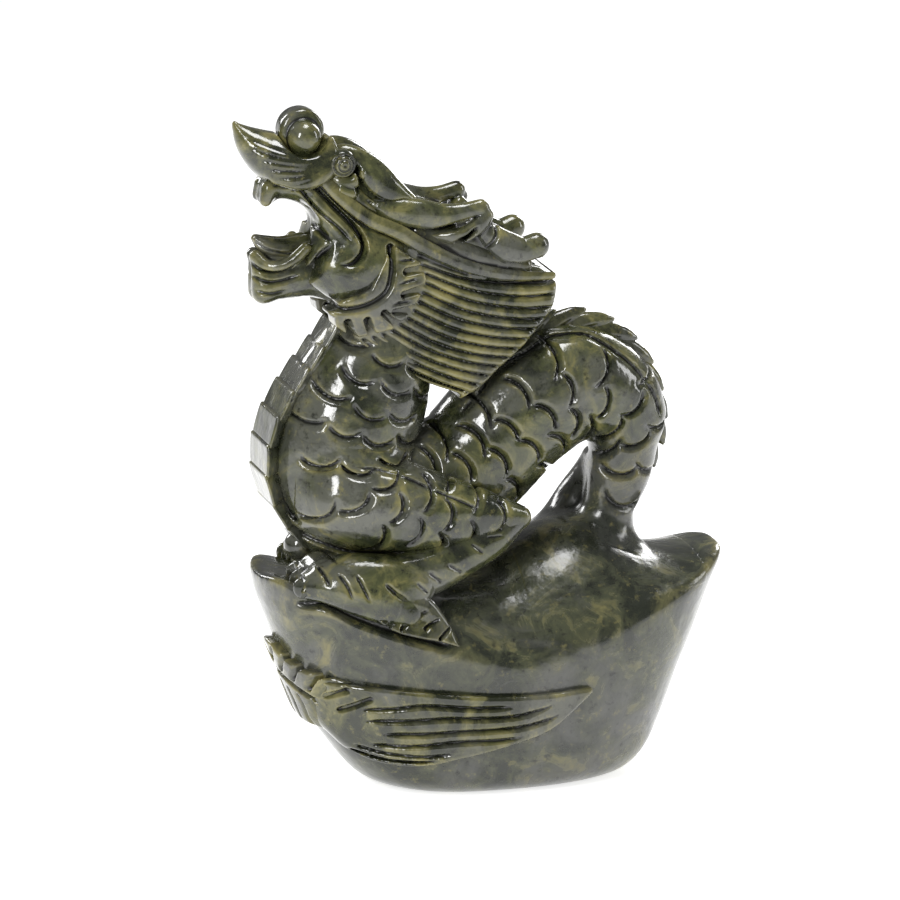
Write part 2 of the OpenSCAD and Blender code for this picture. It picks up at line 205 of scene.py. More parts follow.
class Block:
    def __init__(self, low, high, step, half=False):
        """half: only the near side up to the middle plane is carved, and the far side mirrors it."""
        self.step, self.half = step, half
        self.first = np.floor(np.array(low, float) / step).astype(int)
        last = np.ceil(np.array(high, float) / step).astype(int)
        if half:
            last[1] = 0
        n = last - self.first + 1
        self.x, self.y, self.z = [((start + np.arange(count)) * step).astype(np.float32)
                                  for start, count in zip(self.first, n)]
        self.d = np.full(n, FAR, np.float32)

    def axes(self):
        return self.x[:, None, None], self.y[None, :, None], self.z[None, None, :]

    def part(self, low, high):
        cut = []
        for axis, a, b in zip((self.x, self.y, self.z), low, high):
            i, j = np.searchsorted(axis, [a, b])
            cut.append(slice(i, max(j, i)))
        w = tuple(cut)
        return w, self.x[w[0]][:, None, None], self.y[w[1]][None, :, None], self.z[w[2]][None, None, :]

    def join(self, w, shape, k):
        if k > 0:
            self.d[w] = smooth_min(self.d[w], shape, k)
        else:
            self.d[w] = np.minimum(self.d[w], shape)

    def lobe(self, run, flat=1.0, k=0.0):
        """A run of balls [x, y, z, radius]; flat is the depth over the width. The run is one body,
        joined to the rest with a fillet of k."""
        p = spline(run)
        r = p[:, 3]
        pad = k + 4
        low = (p[:, :3] - r[:, None] - pad).min(0)
        high = (p[:, :3] + r[:, None] + pad).max(0)
        w, X, Y, Z = self.part(low, high)
        if min(X.size, Y.size, Z.size) == 0:
            return
        body = np.full(np.broadcast_shapes(X.shape, Y.shape, Z.shape), FAR, np.float32)
        for a, b in zip(p[:-1], p[1:]):
            reach = max(a[3], b[3]) + pad
            lo, hi = np.minimum(a, b)[:3] - reach, np.maximum(a, b)[:3] + reach
            v, x, y, z = self.part(np.maximum(lo, low), np.minimum(hi, high))
            if min(x.size, y.size, z.size) == 0:
                continue
            s = tuple(slice(vi.start - wi.start, vi.stop - wi.start) for vi, wi in zip(v, w))
            ab = (b - a)[:3] / [1, flat, 1]
            xx, yy, zz = x - a[0], (y - a[1]) / flat, z - a[2]
            t = np.clip((xx * ab[0] + yy * ab[1] + zz * ab[2]) / max((ab ** 2).sum(), 1e-9), 0, 1)
            d = np.sqrt((xx - t * ab[0]) ** 2 + (yy - t * ab[1]) ** 2 + (zz - t * ab[2]) ** 2)
            d = (d - a[3] - t * (b[3] - a[3])) * min(flat, 1)
            body[s] = np.minimum(body[s], d)
        self.join(w, body, k)

    def ball(self, centre, radius, squash=(1, 1, 1)):
        c, s = np.array(centre, float), np.array(squash, float)
        w, X, Y, Z = self.part(c - radius * s - 3, c + radius * s + 3)
        if min(X.size, Y.size, Z.size):
            away = ((X - c[0]) / s[0]) ** 2 + ((Y - c[1]) / s[1]) ** 2 + ((Z - c[2]) / s[2]) ** 2
            self.join(w, (np.sqrt(away) - radius) * s.min(), 0)

    def carve(self, sketch, sides=None):
        """Adds the sketch's depths right through the block. Given (low, high), the cuts start at
        low millimetres from the middle plane and are whole from high outwards."""
        u = (self.x[:, None] - sketch.low[0]) / sketch.step + 0 * self.z[None, :]
        v = (self.z[None, :] - sketch.low[1]) / sketch.step + 0 * self.x[:, None]
        inside = ((self.x >= sketch.x[0]) & (self.x <= sketch.x[-1]))[:, None] \
            & ((self.z >= sketch.z[0]) & (self.z <= sketch.z[-1]))[None, :]
        depth = (bilinear(sketch.depth, u, v) * inside).astype(np.float32)[:, None, :]
        if sides:
            depth = depth * ease(np.abs(self.y), *sides).astype(np.float32)[None, :, None]
        self.d = self.d + depth

    def cut(self, shape, k=0.4):
        """Takes another distance, on the same grid, away."""
        self.d = smooth_max(self.d, -shape, k)

    def like(self):
        """An empty block on the same grid."""
        other = Block.__new__(Block)
        other.step, other.half, other.first = self.step, self.half, self.first
        other.x, other.y, other.z = self.x, self.y, self.z
        other.d = np.full(self.d.shape, FAR, np.float32)
        return other

    def surface(self):
        """Vertices in millimetres and four-sided faces that point outwards."""
        d, first = self.d, self.first.copy()
        if self.half:
            d = np.concatenate([d, d[:, -2::-1, :]], axis=1)
        d = np.clip(d, -3 * self.step, 3 * self.step)
        for axis in range(3):                # closes the block where a shape runs off its side
            for end in (0, -1):
                s = [slice(None)] * 3
                s[axis] = end
                d[tuple(s)] = np.maximum(d[tuple(s)], 0.5 * self.step)
        grid = openvdb.FloatGrid()
        grid.background = float(3 * self.step)
        grid.copyFromArray(np.ascontiguousarray(d, dtype=np.float32))
        points, quads = grid.convertToQuads(0.0)
        points = np.array(points, np.float64)
        quads = np.array(quads, np.int64)
        # outward check: the signed volume
        a, b, c, e = [points[quads[:, i]] for i in range(4)]
        volume = (np.einsum("ij,ij->i", a, np.cross(b, c)) + np.einsum("ij,ij->i", a, np.cross(c, e))).sum()
        if volume < 0:
            quads = quads[:, ::-1]
        return (points + first) * self.step, quads


# %% [markdown]
# A grid turned into a mesh has small steps, so each vertex moves half-way to
# the middle of its neighbours. The same averaging over a wider stretch tells
# a groove from a ridge, for the shade and highlight that the stone's colour
# paints later on. It could be baked into a picture, but a value on each vertex goes with the mesh.

# %% From a block to a mesh object
def relax(points, quads, rounds):
    """Average of the neighbours, repeated; used to smooth and to find hollows."""
    edges = np.concatenate([quads[:, [i, (i + 1) % 4]] for i in range(4)])
    n = len(points)
    count = np.bincount(edges.ravel(), minlength=n).astype(float)
    count[count == 0] = 1
    out = points.copy()
    for _ in range(rounds):
        total = np.zeros_like(out)
        for axis in range(3):
            total[:, axis] = (np.bincount(edges[:, 0], out[edges[:, 1], axis], n)
                              + np.bincount(edges[:, 1], out[edges[:, 0], axis], n))
        out = total / count[:, None]
    return out


def keep_large(points, quads, share=0.02):
    """Drops crumbs: islands with fewer faces than a share of the largest."""
    n = len(points)
    label = np.arange(n)
    edges = np.concatenate([quads[:, [0, 1]], quads[:, [1, 2]], quads[:, [2, 3]], quads[:, [3, 0]]])
    while True:
        low = np.minimum(label[edges[:, 0]], label[edges[:, 1]])
        new = label.copy()
        np.minimum.at(new, edges[:, 0], low)
        np.minimum.at(new, edges[:, 1], low)
        new = new[new]
        if (new == label).all():
            break
        label = new
    face_label = label[quads[:, 0]]
    names, counts = np.unique(face_label, return_counts=True)
    keep = names[counts >= share * counts.max()]
    quads = quads[np.isin(face_label, keep)]
    used = np.unique(quads)
    remap = np.zeros(n, int)
    remap[used] = np.arange(len(used))
    return points[used], remap[quads]


def mesh_object(name, points, quads, step, reach=3.0):
    """A Blender object in metres with smooth shading and a relief value on each vertex. The
    points, the size of a face (step) and the reach of the relief are in millimetres."""
    points = 0.5 * points + 0.5 * relax(points, quads, 1)
    mesh = bpy.data.meshes.new(name)
    mesh.vertices.add(len(points))
    mesh.vertices.foreach_set("co", (points * MM).astype(np.float32).ravel())
    mesh.loops.add(quads.size)
    mesh.loops.foreach_set("vertex_index", quads.astype(np.int32).ravel())
    mesh.polygons.add(len(quads))
    mesh.polygons.foreach_set("loop_start", np.arange(0, quads.size, 4, dtype=np.int32))
    mesh.update(calc_edges=True)
    mesh.validate()
    mesh.polygons.foreach_set("use_smooth", np.ones(len(mesh.polygons), bool))
    normal = np.zeros(len(points) * 3, np.float32)
    mesh.vertices.foreach_get("normal", normal)
    normal = normal.reshape(-1, 3)
    fine = relax(points, quads, max(2, round((1.2 / step) ** 2)))
    wide = relax(points, quads, max(6, round((reach / step) ** 2 * 0.8)))
    relief = (((points - fine) * normal).sum(1) * 1.3 + ((points - wide) * normal).sum(1) * 0.5) / 0.8
    layer = mesh.attributes.new("relief", "FLOAT", "POINT")
    layer.data.foreach_set("value", np.clip(relief, -1.5, 1.5).astype(np.float32))
    o = bpy.data.objects.new(name, mesh)
    bpy.context.scene.collection.objects.link(o)
    return o


def mirror(points, quads):
    return points * [1, -1, 1], quads[:, ::-1]


# %% [markdown]
# The stone is a dark olive serpentine: grey-green clouds, yellower patches,
# thin veins that wander, and a wet-looking wax polish. A painted picture could
# carry this, but a pattern worked out from the object's own coordinates runs
# through all the pieces without a seam, as it does in a real block. Three
# noises of different sizes mix the colours, a folded noise gives the veins,
# and the relief value of each vertex paints shade into the cuts and a paler highlight on the ridges.

# %% Short helpers for shader nodes
def link(tree, a, b):
    tree.links.new(a, b)


def make_node(tree, kind, **values):
    n = tree.nodes.new(kind)
    for key, value in values.items():
        if key in n.inputs:
            n.inputs[key].default_value = value
        else:
            setattr(n, key, value)
    return n


def math_node(tree, operation, a, b=None):
    n = tree.nodes.new("ShaderNodeMath")
    n.operation = operation
    for i, v in enumerate((a, b)):
        if v is None:
            continue
        if isinstance(v, (int, float)):
            n.inputs[i].default_value = v
        else:
            link(tree, v, n.inputs[i])
    return n.outputs[0]


def span(tree, value, low, high, to_low=0.0, to_high=1.0):
    n = tree.nodes.new("ShaderNodeMapRange")
    n.interpolation_type = "SMOOTHSTEP"
    link(tree, value, n.inputs["Value"])
    for name, v in (("From Min", low), ("From Max", high), ("To Min", to_low), ("To Max", to_high)):
        n.inputs[name].default_value = v
    return n.outputs["Result"]


def mix_colour(tree, factor, a, b):
    n = tree.nodes.new("ShaderNodeMix")
    n.data_type = "RGBA"
    for socket, v in ((n.inputs["Factor"], factor), (n.inputs["A"], a), (n.inputs["B"], b)):
        if isinstance(v, (int, float, tuple)):
            socket.default_value = v
        else:
            link(tree, v, socket)
    return n.outputs["Result"]


# %% [markdown]
# One recipe serves every part of the block, and only its four colours and its
# polish change: the ingot is a little duller, and what stands proudest is a
# little paler. The wax is a thin clear coat, and two bumps, one slow and one
# fine, keep the polish from looking like glass.

# %% The stone
COAT, COAT_ROUGHNESS, STONE_IOR = 0.3, 0.06, 1.52


def darker(colour, share):
    return tuple(c * share for c in colour[:3]) + (1,)


def stone(name, deep, olive, gold, grey, roughness=0.16):
    """Polished serpentine. deep, olive, gold and grey are linear colours."""
    m = bpy.data.materials.new(name)
    m.use_nodes = True
    t = m.node_tree
    t.nodes.clear()
    out = t.nodes.new("ShaderNodeOutputMaterial")
    bsdf = t.nodes.new("ShaderNodeBsdfPrincipled")
    link(t, bsdf.outputs[0], out.inputs[0])
    place = t.nodes.new("ShaderNodeTexCoord").outputs["Object"]

    def noise(scale, detail, rough, distortion=0.0):
        n = make_node(t, "ShaderNodeTexNoise", Scale=scale, Detail=detail, Roughness=rough,
                      Distortion=distortion)
        link(t, place, n.inputs["Vector"])
        return n.outputs["Fac"]

    clouds = noise(22, 5, 0.6, 0.6)
    patches = noise(58, 6, 0.62, 0.8)
    specks = noise(240, 4, 0.65)
    veins = noise(30, 6, 0.55, 1.6)
    grit = noise(900, 2, 0.6)
    relief = make_node(t, "ShaderNodeAttribute", attribute_name="relief").outputs["Fac"]

    colour = mix_colour(t, span(t, patches, 0.38, 0.60), deep, olive)
    colour = mix_colour(t, span(t, clouds, 0.48, 0.64, 0, 0.85), colour, grey)
    colour = mix_colour(t, span(t, patches, 0.54, 0.74, 0, 0.85), colour, gold)
    colour = mix_colour(t, span(t, specks, 0.56, 0.74, 0, 0.5), colour, gold)
    colour = mix_colour(t, span(t, specks, 0.46, 0.28, 0, 0.8), colour, darker(deep, 0.35))
    folded = math_node(t, "ABSOLUTE", math_node(t, "SUBTRACT", veins, 0.5))
    colour = mix_colour(t, span(t, folded, 0.020, 0.0, 0, 0.22), colour, darker(deep, 0.3))
    pale = math_node(t, "ABSOLUTE", math_node(t, "SUBTRACT", veins, 0.62))
    colour = mix_colour(t, span(t, pale, 0.010, 0.0, 0, 0.35), colour, grey)
    # painted highlight: what stands above its surroundings turns paler and yellower, broken up by the patches
    ridge = math_node(t, "MULTIPLY", span(t, relief, 0.05, 0.8, 0, 0.7), span(t, patches, 0.38, 0.62))
    colour = mix_colour(t, ridge, colour, gold)
    # painted shade: what lies below its surroundings darkens to near black, standing in for the shade in the
    # cuts; the same mask makes the cuts a little rougher
    groove_shade = span(t, relief, -0.03, -0.36, 0, 0.97)
    colour = mix_colour(t, groove_shade, colour, darker(deep, 0.10))
    link(t, colour, bsdf.inputs["Base Color"])

    rough = math_node(t, "ADD", span(t, patches, 0.35, 0.75, roughness - 0.05, roughness + 0.07),
                      span(t, groove_shade, 0.2, 0.9, 0.0, 0.18))
    link(t, rough, bsdf.inputs["Roughness"])
    bsdf.inputs["Coat Weight"].default_value = COAT
    bsdf.inputs["Coat Roughness"].default_value = COAT_ROUGHNESS
    bsdf.inputs["IOR"].default_value = STONE_IOR

    wave = make_node(t, "ShaderNodeBump", Strength=0.5, Distance=0.0012)
    link(t, noise(110, 3, 0.5), wave.inputs["Height"])
    fine = make_node(t, "ShaderNodeBump", Strength=0.22, Distance=0.00022)
    link(t, math_node(t, "ADD", specks, math_node(t, "MULTIPLY", grit, 0.35)), fine.inputs["Height"])
    link(t, wave.outputs[0], fine.inputs["Normal"])
    link(t, fine.outputs[0], bsdf.inputs["Normal"])
    return m


STONES = {
    "stone_body": stone("stone_body", (0.013, 0.016, 0.008, 1), (0.056, 0.062, 0.024, 1),
                        (0.195, 0.176, 0.062, 1), (0.084, 0.086, 0.070, 1)),
    "stone_dark": stone("stone_dark", (0.015, 0.018, 0.011, 1), (0.050, 0.055, 0.029, 1),
                        (0.185, 0.165, 0.062, 1), (0.074, 0.075, 0.068, 1), roughness=0.25),
    "stone_light": stone("stone_light", (0.015, 0.018, 0.008, 1), (0.066, 0.068, 0.026, 1),
                         (0.225, 0.200, 0.074, 1), (0.092, 0.093, 0.076, 1))}
print("stones:", ", ".join(STONES))

# %% [markdown]
# Every finished piece is handed in the same way. The figure is one rigid
# block, so each piece rides the single body, names the CAD node that it
# replaces and says which stone it is cut from. What lies on both sides is
# carved once, and its mirror image is the far one.

# %% Handing a piece in
BROAD, FINE = 3.0, 2.5                 # reach of the relief on large and on small pieces
MADE = {}


def hand_in(o, node, triangles):
    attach(o, "root")
    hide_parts(node)
    MADE[o.name] = triangles
    print(f"{o.name}: {triangles} triangles")


def finish_mesh(name, points, quads, slot, step, reach, node=None):
    o = mesh_object(name, points, quads, step, reach)
    o.data.materials.append(STONES[slot])
    hand_in(o, node or name, len(quads) * 2)


def finish_piece(name, block, slot, reach=BROAD, node=None):
    finish_mesh(name, *keep_large(*block.surface()), slot, block.step, reach, node)


def finish_pair(kind, block, slot, reach=BROAD):
    """The near piece, and its mirror image on the far side."""
    points, quads = keep_large(*block.surface())
    finish_mesh("near_" + kind, points, quads, slot, block.step, reach)
    finish_mesh("far_" + kind, *mirror(points, quads), slot, block.step, reach)


# %% [markdown]
# The ingot is a solid boat with a flat foot, walls that lean out and two
# raised tips. Its outline is an oval that is a little squarer than an ellipse,
# so a formula gives the wall and another the top, and the two meet in the
# rounded rim that a polishing wheel leaves. The rise under the tail is part
# of the same block.

# %% The ingot
ingot_low, ingot_high = [np.array(c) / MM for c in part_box("ingot_base")]
INGOT_L, INGOT_D = ingot_high[0] - ingot_low[0], ingot_high[1] - ingot_low[1]
FOOT_L, FOOT_D, FOOT_R = 100.0, 66.0, 8.0
TIP_H, RIM_H = 87.0, 56.0
OVAL, RIM_POWER = 2.3, 1.3             # how square the outline is, and how late the tips rise
FACE_BELLY, FACE_LIFT, TAIL_LIFT = 6.5, 4.0, 1.5
FOOT_EDGE, RIM_ROUND = 16.0, 4.5       # fillets round the foot and along the rim
MOUND_H, MOUND_X, MOUND_W = 17, 27, 28
SADDLE_H, SADDLE_X, SADDLE_W = 6, -40, 30
WAVE = 0.28                            # height of the slow waves that hand polishing leaves
FLARE_X = (INGOT_L - FOOT_L - 2 * FOOT_R) / 2 / TIP_H
FLARE_Y = (INGOT_D - FOOT_D - 2 * FOOT_R) / 2 / RIM_H


def rim_z(x):
    return (RIM_H + (TIP_H - RIM_H) * (np.minimum(1, np.abs(x) / (INGOT_L / 2))) ** RIM_POWER
            + FACE_LIFT * ease(-x, 60, 90) + TAIL_LIFT * ease(x, 74, 90))


def ridge_z(x):
    return (TIP_H - 4 + 5 * (np.abs(x) / (INGOT_L / 2)) ** 4 + MOUND_H * bell(x, MOUND_X, MOUND_W)
            + SADDLE_H * bell(x, SADDLE_X, SADDLE_W))


def half_length(x, z):
    """Half the ingot's length at a height; the face end bellies out a little."""
    belly = FACE_BELLY * ease(z, 6, 34) * (1 - 0.35 * ease(z, 76, 92)) * ease(-x, 0, 70)
    return FOOT_L / 2 + FOOT_R + FLARE_X * z + belly


def half_depth(x, z):
    """How far the long wall stands from the middle at a length x and a height z."""
    length = half_length(x, z)
    inside = np.maximum(0, 1 - np.minimum(1, np.abs(x) / length) ** OVAL)
    return (FOOT_D / 2 + FOOT_R + FLARE_Y * z) * inside ** (1 / OVAL)


def wall_distance(X, Y, Z):
    length = half_length(X, Z)
    depth = FOOT_D / 2 + FOOT_R + FLARE_Y * Z
    u, v = np.abs(X) / length + 1e-4, np.abs(Y) / depth + 1e-4
    g = (u ** OVAL + v ** OVAL) ** (1 / OVAL)
    gu, gv = (u / g) ** (OVAL - 1), (v / g) ** (OVAL - 1)
    slope = gu * u * FLARE_X / length + gv * v * FLARE_Y / depth
    return (g - 1) / np.sqrt((gu / length) ** 2 + (gv / depth) ** 2 + slope ** 2)


def top_distance(X, Y, Z):
    rim, ridge = rim_z(X), ridge_z(X)
    edge = np.maximum(6, half_depth(X, rim))
    t = np.minimum(1.1, np.abs(Y) / edge)
    top = rim + (ridge - rim) * (1 - t * t)
    lean = 1 + (2 * (ridge - rim) * t / edge) ** 2
    return (Z - top) / np.sqrt(lean)


def ingot_distance(X, Y, Z):
    body = smooth_max(wall_distance(X, Y, Z), top_distance(X, Y, Z), RIM_ROUND)
    return smooth_max(body, -Z, FOOT_EDGE).astype(np.float32)


INSTEP_EDGE = [(-88, 81.5), (-83, 80.8), (-76, 81), (-65.5, 76), (-54.5, 71.8), (-42, 67.8), (-27, 63.5)]


def make_ingot():
    b = Block(ingot_low - [8, 2, 2], ingot_high + [2, 2, 4], 1.05, half=True)
    X, Y, Z = b.axes()
    waves = WAVE * np.sin(X / 9.0 + Z / 13) * np.sin(Z / 11.0 - Y / 17) * np.cos(Y / 12.0 + 1)
    b.d = ingot_distance(X, Y, Z) + waves.astype(np.float32)
    # the undercut that sets the dragon's foot off from the wall
    line = Sketch((-96, 52), (-14, 94), 0.3)
    line.groove(INSTEP_EDGE, 4.4, 2.8, fade=(0.1, 0.12))
    b.carve(line, (12, 20))
    finish_piece("ingot", b, "stone_dark", 5, "ingot_base")


make_ingot()

# %% [markdown]
# The dragon's body is drawn as runs of balls in millimetres: the chest rises
# from the ingot, and the rear body goes back from it, up over an arch and down
# to the tail. The scales are one gouge cut each, in staggered rows that follow
# the flow of the body, which is why rows and columns are worked out along a
# curve here and not placed by hand.

# %% The runs of the body
CHEST = [[-41, 0, 198, 16], [-44, 0, 182, 19], [-52, 0, 160, 26], [-60, 0, 141, 29],
         [-62, 0, 122, 28], [-56, 0, 106, 24], [-54, 0, 92, 22]]
REAR = [[-44, 0, 112, 23], [-26, 0, 118, 24.5], [-10, 0, 125, 24.5], [6, 0, 141, 25],
        [19, 0, 150.5, 25], [32, 0, 154.5, 23.5], [45, 0, 150, 20], [54, 0, 140, 16]]
TAIL = [[52, 0, 146, 15], [53, 0, 128, 13.4], [51.5, 0, 118, 12.6], [49.4, 0, 110.5, 11.2],
        [47.2, 0, 103, 10.2], [45, 0, 90, 12]]
STRUT = [[51, 6, 128, 9], [45.5, 11, 114, 9], [38, 15, 100, 10], [34, 15, 88, 12]]
THIGH = [[-62, -18, 119, 19], [-46, -25, 116.5, 18], [-28, -28, 113.5, 14.2], [-12, -29, 111.5, 9.6],
         [2, -29, 109.5, 5]]
SHIN = [[0, -29, 108, 5], [-10, -30, 102, 7.5], [-22, -31, 97, 8.8], [-34, -32, 92, 9.5], [-45, -33, 90, 9.5]]
FOOT = [[-42, -33, 88, 10], [-54, -32, 88.5, 11], [-64, -29, 89.5, 10.5], [-72, -25, 90.5, 8]]
INSTEP = [[-83, -26, 87, 4.5], [-75, -33, 87.5, 5], [-65, -36.5, 84, 5.5], [-55, -39, 80, 5.5],
          [-45, -40, 76.5, 5]]
THIGH_FOLD = [(-86, 108), (-81.5, 105.5), (-75.5, 102.5), (-62, 97.8), (-48.5, 97.2), (-38, 98.4),
              (-29, 100.5)]
HAUNCH = [(-66, 134), (-60, 133.5), (-47, 130.6), (-32, 123.6), (-12, 114)]
BELLY = [(-71.5, 176.5), (-76, 171), (-81.5, 161.5), (-86.5, 150), (-89.5, 140.5), (-90, 131.5),
         (-89, 124), (-85.5, 116), (-81.5, 108.5)]
CHEST_FLAT, REAR_FLAT = 27 / 29, 23 / 24       # depth over width
print("chest rises to", CHEST[0][2] + CHEST[0][3], "mm, arch to", REAR[5][2] + REAR[5][3], "mm")

# %% [markdown]
# A row of scales is set across the flow, and the next one sits half a scale
# over. Each cut is moved and turned a little, because a gouge in the hand never
# lands twice in the same way. A cut that would crowd another is left out.

# %% Rows of scales
def scale_rows(sketch, flow, row, across, radius, depth, keep, rng, tail=2.8):
    """Staggered gouge cuts along a flow of (x, z, half width); keep(x, z) says where they go."""
    path = spline(flow, 12)
    steps = np.hypot(np.diff(path[:, 0]), np.diff(path[:, 1]))
    run = np.concatenate([[0], np.cumsum(steps)])
    placed = []
    for i, s in enumerate(np.arange(row * 0.5, run[-1], row)):
        x, z, half = [np.interp(s, run, path[:, c]) for c in range(3)]
        x2, z2 = [np.interp(min(s + 1, run[-1]), run, path[:, c]) for c in range(2)]
        x1, z1 = [np.interp(max(s - 1, 0), run, path[:, c]) for c in range(2)]
        t = np.array([x2 - x1, z2 - z1])
        t /= np.linalg.norm(t)
        n = np.array([-t[1], t[0]])
        count = int(half * 2 / across) + 2
        for j in range(-count, count + 1):
            off = (j + 0.5 * (i % 2)) * across
            if abs(off) > half:
                continue
            jitter = rng.uniform(-0.06, 0.06, 2) * across
            c = np.array([x, z]) + n * off + jitter - t * 0.12 * abs(off)
            if not keep(c[0], c[1]) or any(np.hypot(*(c - q)) < 0.66 * min(row, across) for q in placed):
                continue
            placed.append(c)
            aim = math.degrees(math.atan2(t[1], t[0])) + rng.uniform(-9, 9)
            sketch.scale(c - t * radius * 0.5, radius * rng.uniform(0.92, 1.06), aim,
                         depth * rng.uniform(0.85, 1.1), tail)
    return len(placed)


# %% [markdown]
# Two drawings serve the whole body. The one for the front has the chest and
# the thigh on it, and no scale crosses the line that borders the belly plates.
# The one for the rear follows the arch down to the tail, with a line under
# the fins.

# %% The drawings of the front and the rear
front = Sketch((-96, 76), (10, 206))
belly_x = np.array(BELLY)[:, 0]
belly_z = np.array(BELLY)[:, 1]


def behind_belly(x, z):
    return x > np.interp(z, belly_z[::-1], belly_x[::-1]) + 5 and z > 101


count = scale_rows(front, [(-40, 200, 20), (-44, 184, 20), (-52, 166, 25), (-59, 148, 29), (-61, 133, 30),
                           (-54, 121, 27), (-40, 116, 19), (-24, 114, 14), (-8, 112, 8)],
                   row=10.4, across=14.2, radius=7.6, depth=2.5, keep=behind_belly,
                   rng=np.random.default_rng(4))
front.groove(BELLY, 2.8, 2.4, fade=(0.05, 0.05))
front.groove(THIGH_FOLD, 3.0, 2.2, fade=(0.05, 0.25))
front.groove(HAUNCH, 2.2, 1.6, fade=(0.2, 0.2))
print("front scales:", count)

rear = Sketch((-40, 92), (74, 182))
rear_flow = [(-34, 116, 22), (-18, 121, 22), (-4, 130, 22), (9, 142, 23), (22, 150, 23), (36, 151, 22),
             (47, 144, 20), (54, 132, 15), (54, 118, 13), (48, 106, 12)]
count = scale_rows(rear, rear_flow, row=12.4, across=13.2, radius=7.8, depth=3.2,
                   keep=lambda x, z: True, rng=np.random.default_rng(7))
RIDGE = [(-19, 145.5), (-9, 155), (-1, 164), (10.5, 170), (20.5, 174.5), (33.5, 175), (42, 171),
         (50.5, 164.5), (56.5, 158), (62.5, 149), (65, 139)]
rear.groove(RIDGE, 2.6, 1.9, fade=(0.1, 0.05))
print("rear scales:", count)


# %% [markdown]
# Neighbouring masses would flicker where their skins coincide, so each piece
# is cut back by the shape of the one it grows out of, and keeps only a
# millimetre or two of it inside. The thigh and the tail are first run into
# their neighbours with a fillet, as in the stone.

# %% Carving the body
MASSES = {"chest": [(CHEST, CHEST_FLAT, 0)], "rear": [(REAR, REAR_FLAT, 0)], "thigh": [(THIGH, 0.85, 0)],
          "tail": [(TAIL, 0.95, 0), (STRUT, 1, 4)], "shin": [(SHIN, 0.9, 0)]}


def mass(block, name):
    """The distance to one of the plain masses on a block's grid."""
    other = block.like()
    for run, flat, k in MASSES[name]:
        other.lobe(run, flat, k)
    return other.d


def make_chest():
    b = Block((-96, -34, 76), (-12, 0, 216), 0.72, half=True)
    b.lobe(CHEST, CHEST_FLAT)
    b.carve(front, (3, 8))
    b.cut(ingot_distance(*b.axes()) + 2.0)
    finish_piece("chest", b, "stone_body")


def make_thighs():
    b = Block((-84, -50, 88), (14, 2, 142), 0.66)
    chest = mass(b, "chest")
    b.d = smooth_min(mass(b, "thigh"), chest, 5)
    b.cut(chest + 0.9)
    b.carve(front)
    b.cut(mass(b, "rear") + 3.0)
    b.cut(ingot_distance(*b.axes()) + 2.0)
    finish_pair("thigh", b, "stone_body")


def make_rear_body():
    b = Block((-50, -30, 84), (76, 0, 184), 0.72, half=True)
    b.lobe(REAR, REAR_FLAT)
    b.carve(rear, (2, 6))
    b.cut(mass(b, "chest") + 2.5)
    b.cut(ingot_distance(*b.axes()) + 2.0)
    finish_piece("rear_body", b, "stone_body")


def make_tail():
    b = Block((4, -34, 76), (80, 34, 160), 0.78)
    arch, ingot = mass(b, "rear"), ingot_distance(*b.axes())
    b.d = smooth_min(mass(b, "tail"), arch + 0.2, 4)
    b.carve(rear, (2, 6))
    b.d = smooth_min(b.d, ingot, 9)
    b.cut(ingot + 1.2)
    b.cut(arch + 2.2)
    finish_piece("tail_root", b, "stone_dark")


make_chest()
make_thighs()
make_rear_body()
make_tail()

# %% [markdown]
# What repeats on the dragon is not carved one by one here. The plates down the
# chest and the fins along the back are one shape set along a path, and the
# claws are a round section swept along a curve that gets thinner. Geometry
# Nodes do both: a tree with named sizes takes a path and gives back the
# finished row. The result is turned into a plain mesh, so that nothing is left
# for the export to work out.

# %% A node tree with named sizes
class Grower:
    def __init__(self, name, inputs):
        self.tree = bpy.data.node_groups.new(name, "GeometryNodeTree")
        face = self.tree.interface
        face.new_socket("Geometry", in_out="INPUT", socket_type="NodeSocketGeometry")
        self.ids = {}
        for label, (kind, value) in inputs.items():
            s = face.new_socket(label, in_out="INPUT", socket_type="NodeSocket" + kind)
            if value is not None:
                s.default_value = value
            self.ids[label] = s.identifier
        face.new_socket("Geometry", in_out="OUTPUT", socket_type="NodeSocketGeometry")
        self.given = self.tree.nodes.new("NodeGroupInput")
        self.made = self.tree.nodes.new("NodeGroupOutput")

    def node(self, kind, **values):
        prefix = "" if kind.startswith(("Function", "Shader")) else "GeometryNode"
        n = self.tree.nodes.new(prefix + kind)
        for key, value in values.items():
            if hasattr(value, "is_output"):
                self.tree.links.new(value, n.inputs[key.replace("_", " ")])
            elif key.replace("_", " ") in n.inputs:
                n.inputs[key.replace("_", " ")].default_value = value
            else:
                setattr(n, key, value)
        return n

    def attribute(self, label):
        n = self.tree.nodes.new("GeometryNodeInputNamedAttribute")
        n.data_type = "FLOAT"
        n.inputs["Name"].default_value = label
        return n.outputs["Attribute"]

    def finish(self, geometry):
        real = self.node("RealizeInstances", Geometry=geometry).outputs[0]
        smooth = self.node("SetShadeSmooth", Geometry=real).outputs[0]
        done = self.node("SetMaterial", Geometry=smooth)
        self.tree.links.new(self.given.outputs["Material"], done.inputs["Material"])
        self.tree.links.new(done.outputs[0], self.made.inputs[0])

    def grow(self, name, path, **values):
        """Runs the tree on a path object and returns a plain mesh object."""
        mod = path.modifiers.new(name, "NODES")
        mod.node_group = self.tree
        for label, value in values.items():
            mod[self.ids[label.replace("_", " ")]] = value
        bpy.context.view_layer.update()
        graph = bpy.context.evaluated_depsgraph_get()
        mesh = bpy.data.meshes.new_from_object(path.evaluated_get(graph), preserve_all_data_layers=True,
                                               depsgraph=graph)
        path.modifiers.remove(mod)
        bpy.data.objects.remove(path)
        mesh.name = name
        outward(mesh)
        o = bpy.data.objects.new(name, mesh)
        bpy.context.scene.collection.objects.link(o)
        return o


